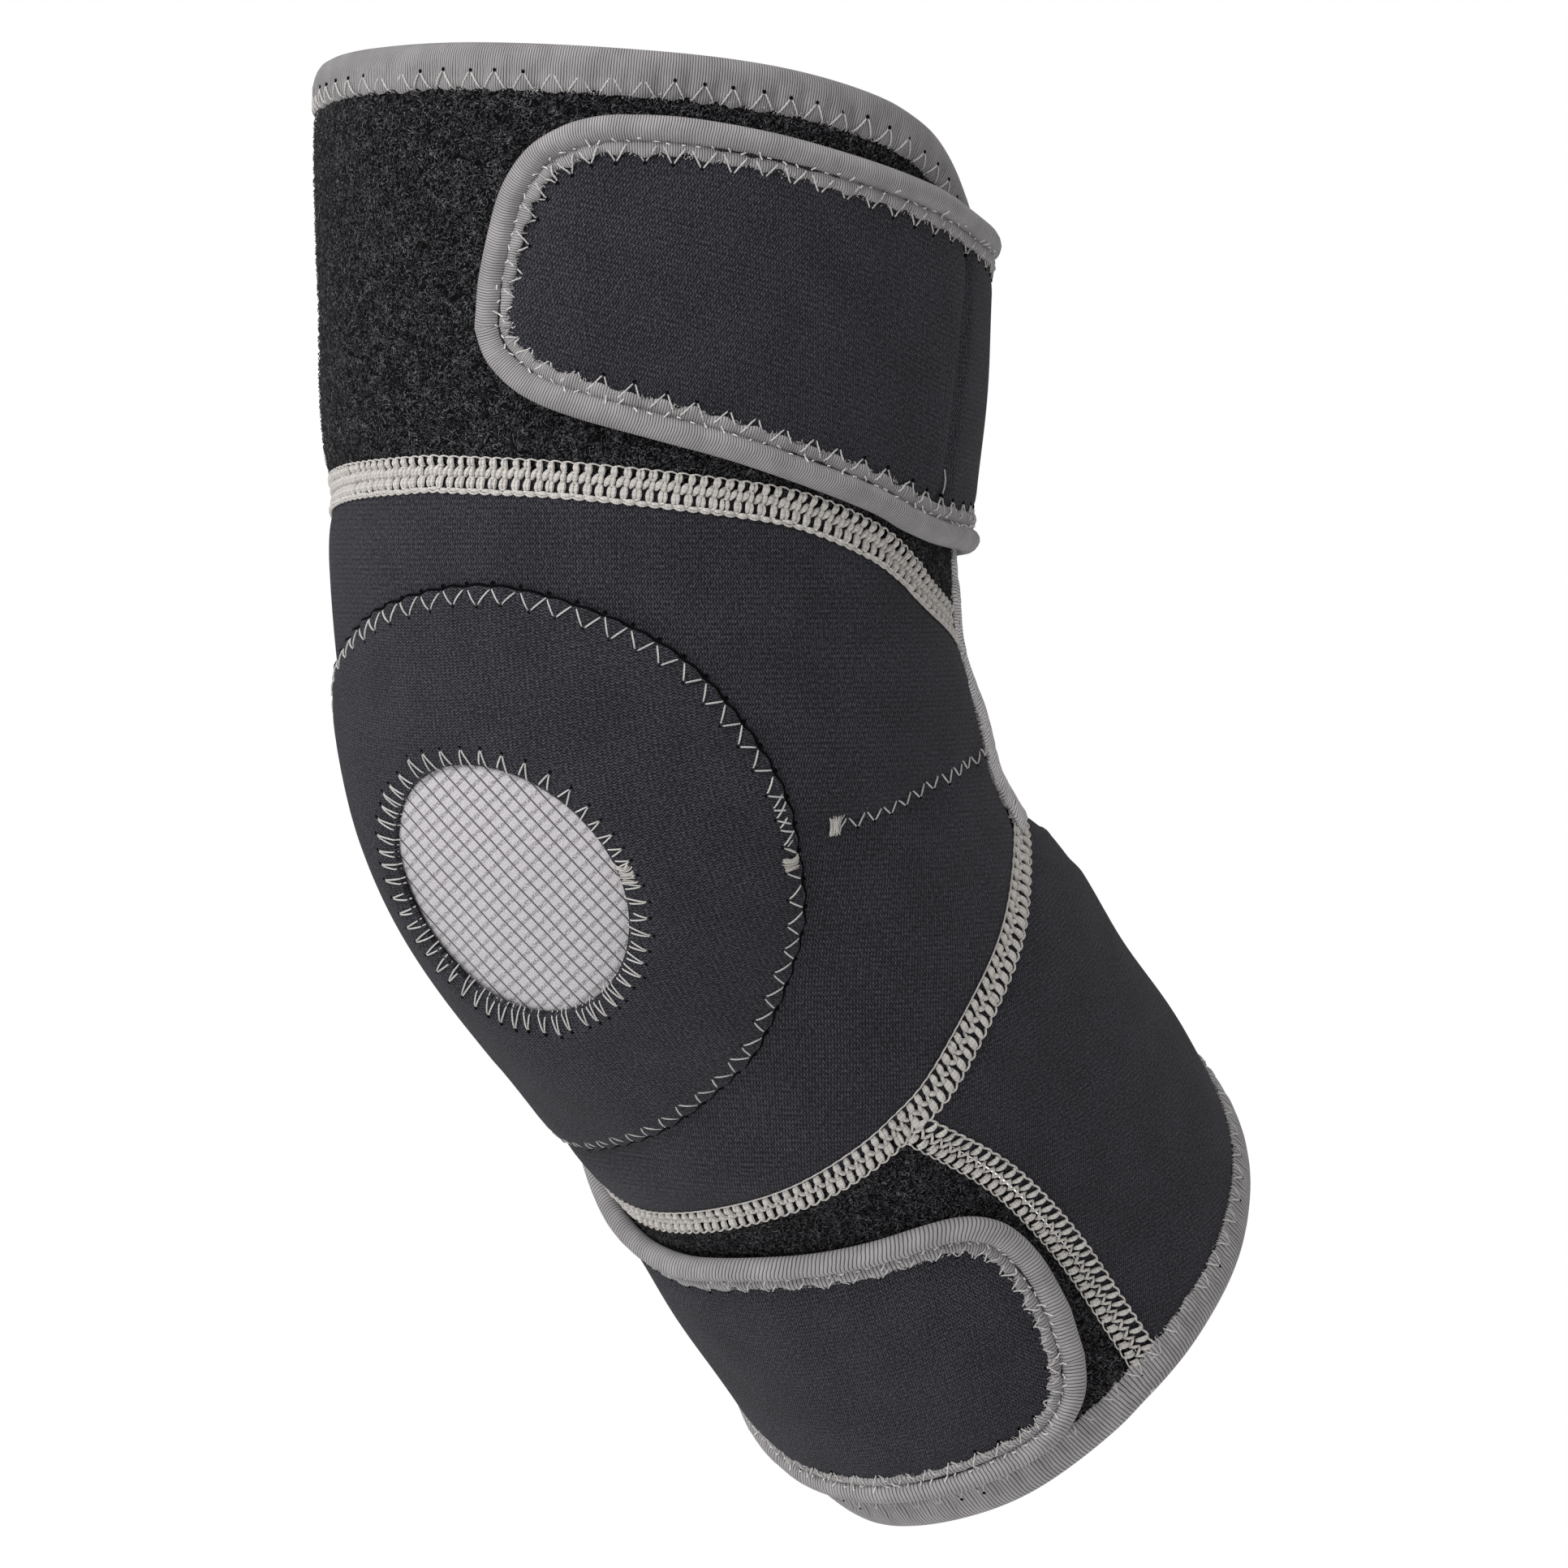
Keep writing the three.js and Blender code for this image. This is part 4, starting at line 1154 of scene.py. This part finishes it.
def dashes(line, across, rest):
    """Short loops of thread that lie along a crease."""
    count = stitches_on(line, DASH_PITCH)
    t = np.linspace(0, 1, DASH_STEPS)
    middles = np.linspace(DASH_PITCH, line.length - DASH_PITCH, count) + rng.normal(0, 0.3, count)
    run = middles[:, None] + rng.uniform(0.2, 0.55, (count, 1)) * (2 * t - 1)
    sides = across + rng.normal(0, 0.25, (count, 1)) + rng.normal(0, 0.35, (count, 1)) * (2 * t - 1)
    height = rest(sides) + 0.1 + 0.3 * np.sin(np.pi * t)
    return tubes(line.at(run, sides, height), line.out(run, sides), DASH_RADIUS)


def fuzz(line, across, rest, per_mm):
    """Short loose ends of yarn along the lip of a tape."""
    count = round(line.length * per_mm)
    t = np.linspace(-0.5, 0.5, FUZZ_STEPS)
    turn = rng.uniform(-1.2, 1.2, (count, 1))
    length = rng.uniform(0.3, 0.75, (count, 1))
    run = np.clip(rng.uniform(0, line.length, (count, 1)) + length * np.sin(turn) * t, 0, line.length)
    sides = across + rng.normal(0, 0.25, (count, 1)) + length * np.cos(turn) * t
    height = rest(sides) + rng.uniform(0, 0.15, (count, 1)) + 0.8 * (0.25 - t ** 2)
    return tubes(line.at(run, sides, height), line.out(run, sides), FUZZ_RADIUS, FUZZ_SIDES)


def holes(line, runs, sides, rest, radius=0.4):
    """Painted shade of needle holes: short dark plugs that end at the face of the cloth."""
    paths = line.at(runs[:, None], sides[:, None], HOLE_REACH + rest(sides)[:, None])
    ahead = np.roll(paths, -1, axis=0) - paths
    ahead[-1] = ahead[-2]
    return tubes(paths, ahead, radius, HOLE_SIDES)


def on_section(section, outside, beyond):
    """Height of a tape's upper face by the distance from its edge, and of the cloth beyond it."""
    rows = np.vstack([beyond[::-1], section[:outside // 2 + 2]])[::-1]
    return lambda across: np.interp(across, rows[:, 0], rows[:, 1])


on_flat = on_section(FLAT_TAPE, FLAT_OUTSIDE, np.array([(8.6, 1.95), (9.5, 2.1), (12, 2.6)]))
on_bead = on_section(BEAD_TAPE, BEAD_OUTSIDE, np.array([(6.9, 1.85), (8, 2.1), (11, 2.6)]))
TAPE_ZIGZAGS = [  # line, feet across, tips across, cloth, share of the pitch, how deep every second leg is
    (RIM_TAPE, 8.4, 4.6, on_flat, 0.8, 0),
    (HEM_TAPE, 8.5, 5.2, on_flat, 0.65, 0),
    (LATERAL_TAPE, 8.5, 6.0, on_flat, 0.45, 0),
    (MEDIAL_TAPE, 8.4, 4.6, on_flat, 0.8, 0),
    (CALF_TAPE, 8.4, 4.6, on_flat, 0.8, 0),
    (UPPER_TAPE, 4.4, 8.3, on_bead, 0.85, 0.4),
    (LOWER_TAPE, 4.4, 7.8, on_bead, 0.85, 0.4),
]
LIPS = [  # line, place across, cloth, loose ends in each millimetre
    (UPPER_TAPE, 6.3, on_bead, 2.8),
    (LOWER_TAPE, 6.3, on_bead, 2.5),
    (RIM_TAPE, 8.0, on_flat, 2.5),
    (HEM_TAPE, 8.0, on_flat, 2.5),
    (LATERAL_TAPE, 8.0, on_flat, 6),
]
tape_threads, tape_hole_shades = [], []
for line, near, far, rest, share, bury in TAPE_ZIGZAGS:
    legs, runs, sides = zigzag(line, STITCH, near, far, rest, share=share, bury=bury)
    tape_threads.append(legs)
    tape_hole_shades.append(holes(line, runs, sides, rest))
tape_stitches = sewn("tape_zigzag", tape_threads, THREAD)
tape_needle_holes = sewn("tape_needle_holes", tape_hole_shades, HOLE_SHADE)
crease_threads = [dashes(line, BEAD_CREASE, on_bead) for line in (UPPER_TAPE, LOWER_TAPE)]
crease_stitches = sewn("crease_stitches", crease_threads, BRIGHT_THREAD)
tape_lint = sewn("tape_lint", [fuzz(*row) for row in LIPS], THREAD)

# %% Zigzags and bar tacks on the ring, the opening and the dart
HOLE_POINTS = 241
HOLE_LINE = SewnLine(off_kneecap(np.linspace(0, TURN, HOLE_POINTS), KNEECAP_RADIUS), relief, closed=True)
HOLE_SPANS = [  # share of the way round from and to, pitch, reach
    (0, 0.08, 3.0, -3.8),
    (0.08, 0.36, 4.4, -3.8),
    (0.36, 0.8, 3.0, -4.2),
    (0.8, 1, 2.9, -4.0),
]
DART_SEWN = SewnLine(DART_LINE, relief)
FAR_AWAY = 40


def on_pad(inside):
    pinched = pad_height(inside, FAR_AWAY) - PAD_PINCH * (1 - ease(inside, 0, PINCH_WIDTH))
    return np.where(inside > 0, pinched, 0)


def on_lip(outside):
    return pad_height(FAR_AWAY, -outside)


def on_cloth(across):
    return np.zeros_like(across)


def bar_tack(line, run, across, width, length, rest, count):
    """A fuzzy block of close stitches that locks the end of a row."""
    t = np.linspace(0, 1, LEG_STEPS)
    spread = np.linspace(-width / 2, width / 2, count)[:, None] * (0.7 + 0.6 * (2 * t - 1) ** 2)
    runs = run + spread + rng.normal(0, 0.15, (count, 1)) + rng.normal(0.3, 0.3, (count, 1)) * t
    sides = across + rng.uniform(0.8, 1.1, (count, 1)) * length * (t - 0.5) + rng.normal(0, 0.2, (count, 1))
    arch = rng.uniform(0.1, 0.6, (count, 1)) * np.sin(np.pi * t)
    height = rest(sides) + 0.2 + arch - 0.7 * np.abs(2 * t - 1) ** DIVE_POWER
    return tubes(line.at(runs, sides, height), line.out(runs, sides), rng.uniform(0.08, 0.15, (count, 1)))


pad_legs, pad_runs, pad_sides = zigzag(PAD_LINE, PAD_PITCH, 0.3, 4.1, on_pad, share=0.95, stray=0.2)
edge_runs = np.linspace(0, PAD_LINE.length, pad_stitches, endpoint=False)
tack_run = PAD_LINE.nearest(PAD_TACK)
sewn_twice = zigzag(PAD_LINE, 5.2, 0.3, 4.0, on_pad, tack_run + 1, tack_run + 15, 0.95, 0.4)[0]
pad_tack = bar_tack(PAD_LINE, tack_run, 2.1, 2.4, 4.4, on_pad, 34)
dart_end = DART_SEWN.length - 3
dart_legs, dart_runs, dart_sides = zigzag(DART_SEWN, 4.6, 1.3, -1.3, on_cloth, 0.0, dart_end, 0.9)
dart_tack = bar_tack(DART_SEWN, 1.2, 0.0, 2.4, 4.2, on_cloth, 30)
hole_tack = bar_tack(HOLE_LINE, 1.2, -1.6, 5.0, 3.6, on_lip, 20)
knee_threads = [pad_legs, sewn_twice, dart_legs]
knee_hole_shades = [
    holes(PAD_LINE, pad_runs, pad_sides + 0.2, on_pad),
    holes(DART_SEWN, dart_runs, dart_sides, on_cloth, 0.3),
    holes(PAD_LINE, edge_runs, np.full(pad_stitches, -0.3), on_pad, 0.5),
]
for start, end, pitch, reach in HOLE_SPANS:
    span = start * HOLE_LINE.length, end * HOLE_LINE.length
    legs, runs, sides = zigzag(HOLE_LINE, pitch, 0.2, reach, on_lip, *span, 0.5, 0.3)
    knee_threads.append(legs)
    knee_hole_shades.append(holes(HOLE_LINE, runs, sides - 0.2, on_lip, 0.32))
knee_stitches = sewn("knee_zigzag", knee_threads, THREAD)
tacks = sewn("knee_bar_tacks", [pad_tack, dart_tack, hole_tack], SEAM_THREAD)
knee_needle_holes = sewn("knee_needle_holes", knee_hole_shades, HOLE_SHADE)

# %% [markdown]
# ## Flat seams
# The panels are joined edge to edge by a cover-stitch machine. Its needles and looper lay a flat ribbon of
# woolly thread on the join: loops that swell between their ends, a braid in the middle, a trim along each
# edge. Every loop is built, because the open ladder casts shadows that a flat picture can't.

# %% Cover-stitched seams
SEAM_PITCH = 2.5
HALF_WIDTH = 3.2
LOOP_STEPS, TRIM_STEPS, KNOT_SIDES = 7, 8, 4
ROOT_POINTS = 60
JOIN_FROM_END, JOIN_STITCH = 8, 5.5
LADDER = [  # across from, across to, run from, run to, thickest radius, place in the repeat
    (3.3, 1.5, 0.05, 0.0, 0.47, 0.02),
    (3.3, 1.5, 0.05, 0.0, 0.47, 0.27),
    (1.55, -0.6, 0.25, -0.15, 0.6, 0.1),
    (1.6, -0.4, 0.65, -0.45, 0.64, 0.62),
    (-0.4, -2.7, 0.0, -0.05, 0.54, -0.08),
    (-0.4, -2.7, 0.0, -0.05, 0.54, 0.22),
    (-3.0, -3.0, -1.1, 1.1, 0.42, 0.56),
]
LADDER_KNOTS = [
    (1.5, 1.5, -0.5, 0.5, 0.2, 0.14),
    (-0.5, -0.5, -0.5, 0.5, 0.2, 0.08),
    (-2.75, -2.75, -0.45, 0.45, 0.2, 0.08),
    (3.3, 3.3, -0.2, 0.3, 0.2, 0.2),
]
BRAID = [
    (2.9, 0.7, 0.45, -0.35, 0.6, 0.0),
    (2.9, 0.7, 0.45, -0.35, 0.56, 0.22),
    (0.9, -0.8, -0.4, 0.4, 0.6, 0.12),
    (0.9, -0.9, 0.6, -0.6, 0.42, 0.6),
    (-0.6, -3.2, 0.4, -0.5, 0.6, 0.32),
    (-0.6, -3.2, 0.4, -0.5, 0.56, 0.54),
]
LEAVES = [
    (3.1, 0.8, 0.4, -0.5, 0.62, 0.0),
    (2.9, 1.0, 0.4, -0.4, 0.4, 0.28),
    (1.1, -1.1, 0.75, -0.65, 0.36, 0.2),
    (1.0, -1.0, -0.6, 0.7, 0.32, 0.7),
    (-0.8, -3.1, 0.5, -0.4, 0.6, 0.4),
]
LEAF_KNOTS = [
    (3.15, 3.15, -0.3, 0.3, 0.2, 0.1),
    (-3.15, -3.15, -0.3, 0.3, 0.2, 0.3),
]
BRAID_KNOTS = [
    (0.7, 0.7, -0.35, 0.35, 0.18, 0.0),
    (-0.7, -0.7, -0.35, 0.35, 0.18, 0.5),
]


def loops(line, start, end, run_start, run_end, radius, place, sides=6):
    """One swelling loop of thread in each repeat of a seam."""
    count = int(line.length / SEAM_PITCH)
    t = np.linspace(0, 1, LOOP_STEPS)
    middle = ((np.arange(count) + place) * SEAM_PITCH + rng.normal(0, 0.09, count))[:, None]
    run = np.clip(middle + run_start + (run_end - run_start) * t, 0, line.length)
    across = start + (end - start) * t + rng.normal(0, 0.08, (count, 1))
    height = 0.2 + 0.5 * np.sin(np.pi * t) + rng.normal(0, 0.06, (count, 1))
    thickness = radius * (0.55 + 0.45 * np.sin(np.pi * t)) * rng.uniform(0.88, 1.1, (count, 1))
    return tubes(line.at(run, across, height), line.out(run, across), thickness, sides)


def trim(line, edge_at, arc, radius):
    """A strand along one edge that bows out between the loops."""
    count = int(line.length / SEAM_PITCH) * TRIM_STEPS
    run = np.linspace(0, line.length, count)
    bow = np.abs(np.sin(np.pi * run / SEAM_PITCH))
    across = edge_at + arc * bow
    height = 0.2 + 0.3 * bow
    return tubes(line.at(run, across, height)[None], line.out(run, across)[None], radius)


def cover_stitch(places, rows, knots):
    """A seam's thread, and its tight knots in brighter thread as a painted highlight."""
    line = SewnLine(places, relief)
    woolly = [loops(line, *row) for row in rows]
    woolly += [trim(line, HALF_WIDTH, 0.35, 0.17), trim(line, -HALF_WIDTH, -0.4, 0.24)]
    return woolly, [loops(line, *row, KNOT_SIDES) for row in knots]


SEAMS = [  # seam, places, loops, knots
    ("upper_seam", FULL_SEAM, LADDER, LADDER_KNOTS),
    ("lower_seam", LOW_SEAM, BRAID, BRAID_KNOTS),
    ("branch_seam", FORK, LEAVES, LEAF_KNOTS),
    ("upper_root", straight(*UPPER_ROOT, ROOT_POINTS), BRAID, BRAID_KNOTS),
    ("lower_root", straight(*LOWER_ROOT, ROOT_POINTS), BRAID, BRAID_KNOTS),
]
seams, seam_knots = [], []
for seam, *row in SEAMS:
    woolly, tight = cover_stitch(*row)
    seams.append(sewn(f"{seam}_thread", woolly, SEAM_THREAD))
    seam_knots += tight
knots = sewn("seam_knots", seam_knots, BRIGHT_THREAD)

JOIN_SEWN = SewnLine(JOIN_LINE, lambda spots: upper_strap_lift(spots) + NEOPRENE - JOIN_DEPTH)
join_t = np.linspace(0, 1, LEG_STEPS)[None]
join_run = JOIN_SEWN.length - JOIN_FROM_END + JOIN_STITCH * join_t
join_path = JOIN_SEWN.at(join_run, 0.3 * join_t, 0.2 + 0.5 * np.sin(np.pi * join_t))
join_stitch = sewn("strap_join_stitch", [tubes(join_path, JOIN_SEWN.out(join_run, 0), THREAD_RADIUS)], THREAD)

# %% [markdown]
# ## Loop pile
# The plush is a carpet of tiny loops, brushed until some stand out. Most of it is too fine to build, so the
# material draws it, with painted highlights on its curls, and a scatter of real fibres stands on top where
# the plush is uncovered.

# %% Fibres on the plush
FIBRE_STEPS, FIBRE_SIDES, FIBRE_LIFT = 3, 3, 0.02
UPPER_FIBRES, LOWER_FIBRES = 8600, 4500
TRIED = 4
UPPER_COVERED, LOWER_COVERED = (21, 250), (240, 422)
UNDER_TAPE, UNDER_SEAM = 8.5, 3.8
ONCE_ROUND = (360, 0)


def fibres(name, grid, count, covered):
    """Small arched fibres scattered over a grid of places, except where something covers it."""
    columns, rows = grid.shape[:2]
    s = rng.uniform(0, columns - 1.001, TRIED * count)
    t = rng.uniform(0, rows - 1.001, TRIED * count)
    i, j = s.astype(int), t.astype(int)
    s, t = (s - i)[:, None], (t - j)[:, None]
    low = grid[i, j] * (1 - s) + grid[i + 1, j] * s
    high = grid[i, j + 1] * (1 - s) + grid[i + 1, j + 1] * s
    places = low * (1 - t) + high * t
    places = places[~covered(places)][:count]
    around, along, out = directions(places)
    turn = rng.uniform(0, TURN, len(places))[:, None]
    way = unit(around) * np.cos(turn) + unit(along) * np.sin(turn)
    step = np.linspace(0, 1, FIBRE_STEPS)[None, :, None]
    length = rng.uniform(0.5, 1.3, (len(places), 1, 1))
    rise = rng.uniform(0.12, 0.4, (len(places), 1, 1))
    base = above(places, relief(places) + FIBRE_LIFT)[:, None]
    paths = base + way[:, None] * length * (step - 0.5) + out[:, None] * rise * 4 * step * (1 - step)
    radius = rng.uniform(0.06, 0.1, (len(places), 1))
    return sewn(name, [tubes(paths, out[:, None], radius, FIBRE_SIDES)], PILE)


def between_edges(places, top, bottom, start, end):
    """Whether places lie between two edges, given as tables by the angle around."""
    around, along = places.T
    high, low = (np.interp(around, *np.array(sorted(rows)).T) for rows in (top, bottom))
    return (along < high) & (along > low) & (around > start) & (around < end)


def under_tape_or_seam(places, tape_line, seam_line):
    """Whether places lie under a tape or under a seam."""
    return (distance_to(tape_line, places) < UNDER_TAPE) | (distance_to(seam_line, places) < UNDER_SEAM)


def under_upper_strap(places):
    covered = between_edges(places, UPPER_STRAP_TOP, UPPER_STRAP_BOTTOM, *UPPER_COVERED)
    return covered | under_tape_or_seam(places, RIM_LINE, FULL_SEAM)


def under_lower_strap(places):
    covered = between_edges(places + ONCE_ROUND, LOWER_STRAP_TOP, LOWER_STRAP_BOTTOM, *LOWER_COVERED)
    return covered | under_tape_or_seam(places, HEM_LINE, LOW_SEAM)


upper_pile = fibres("upper_loop_pile", loop_grid, UPPER_FIBRES, under_upper_strap)
lower_pile = fibres("lower_loop_pile", shin_grid, LOWER_FIBRES, under_lower_strap)

# %% [markdown]
# ## What each piece stands for
# Each cloth and tape takes the place of a plain solid of the frame, which is hidden. Flat sizes, the size of
# each cloth before it was sewn, are measured on the pieces and printed: the cloth lies stretched on the leg,
# and its own area is the area that was cut.

CLOTHS = [upper_loop, lower_loop, knee, calf, pad, mesh, upper_strap, lower_strap]
# These pieces are named after their solids, with one word more for what they are made of.
for piece in CLOTHS + bindings:
    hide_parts(piece.name.rpartition("_")[0])


def flat_size(grid, wraps=False):
    """Width and length of a cloth's bounding rectangle on the grain, and its area, in metres."""
    points = leg(grid)
    if wraps:
        points = np.concatenate([points, points[:1]])
    across = np.diff(points, axis=0)[:, :-1]
    along = np.diff(points, axis=1)[:-1]
    area = np.linalg.norm(np.cross(across, along), axis=-1).sum()
    grain = cloth_grain(grid)
    spans = np.ptp(grain[..., :2].reshape(-1, 2), axis=0)
    width = max(spans[0], area / spans[1])
    return width * MM, spans[1] * MM, area * MM * MM


SHEETS = [  # piece, its places, whether they go all the way round, what is on it
    (upper_loop, loop_grid, False, [upper_pile]),
    (knee, knee_grid, True, []),
    (lower_loop, shin_grid, False, [lower_pile]),
    (calf, calf_grid, False, []),
    (mesh, mesh_grid, False, []),
    (upper_strap, upper_grid, False, []),
    (lower_strap, lower_grid, False, []),
]
for piece, grid, wraps, others in SHEETS:
    width, length, area = flat_size(grid, wraps)
    print(f"{piece.name}: cut {width * 1000:.0f} x {length * 1000:.0f} mm, {area * 1e4:.0f} square cm")

# %% [markdown]
# ## Light and backdrop
# The photograph is lit softly from all round on pure white, with no shadow in view. Large soft lamps and a
# pale world do that. The support is held up in the air, so its floor is far enough below to stay out of
# the picture.

# %% World, lamps and floor
WORLD_LIGHT = 0.4
FLOOR, FLOOR_RADIUS, FLOOR_CORNERS = -0.5, 2, 64
LAMPS = [  # name, place in camera terms (right, up, towards the camera) in metres, size in metres, watts
    ("key", (-1.2, 1.0, 1.2), 1.2, 25),
    ("top", (0.1, 1.6, 0.4), 1.2, 8),
]
scene = bpy.context.scene
scene.view_settings.view_transform = "Standard"
world = bpy.data.worlds.new("studio")
world.use_nodes = True
scene.world = world
sky = world.node_tree
backdrop = sky.nodes["Background"]
backdrop.inputs["Color"].default_value = (1, 1, 1, 1)
seen = signals(node(sky, "LightPath"))["Is Camera Ray"]
strength = node(sky, "MapRange", {"Value": seen, "To Min": WORLD_LIGHT, "To Max": 1.0}).outputs[0]
sky.links.new(strength, backdrop.inputs["Strength"])


def lamp(name, place, size, watts):
    """A round soft lamp, given in camera terms, that shines at the knee."""
    light = bpy.data.lights.new(name, "AREA")
    light.shape = "DISK"
    light.size = size
    light.energy = watts
    holder = bpy.data.objects.new(name, light)
    right, up, near = place
    holder.location = to_right * right + to_top * up + to_camera * near
    holder.rotation_mode = "QUATERNION"
    holder.rotation_quaternion = holder.location.to_track_quat("Z", "Y")
    scene.collection.objects.link(holder)


for row in LAMPS:
    lamp(*row)

floor_mesh = bpy.data.meshes.new("floor")
turns = np.linspace(0, TURN, FLOOR_CORNERS, endpoint=False)
corners = [(FLOOR_RADIUS * np.cos(turn), FLOOR_RADIUS * np.sin(turn), FLOOR) for turn in turns]
floor_mesh.from_pydata(corners, [], [range(FLOOR_CORNERS)])
floor = bpy.data.objects.new("floor", floor_mesh)
floor_material = bpy.data.materials.new("pale floor")
floor_material.use_nodes = True
floor_shader = floor_material.node_tree.nodes["Principled BSDF"]
floor_shader.inputs["Base Color"].default_value = (0.92, 0.92, 0.92, 1)
floor_shader.inputs["Roughness"].default_value = 0.8
floor_shader.inputs["Emission Color"].default_value = (1, 1, 1, 1)
floor_shader.inputs["Emission Strength"].default_value = 0.05
floor_mesh.materials.append(floor_material)
scene.collection.objects.link(floor)
print("lamps:", len(LAMPS))
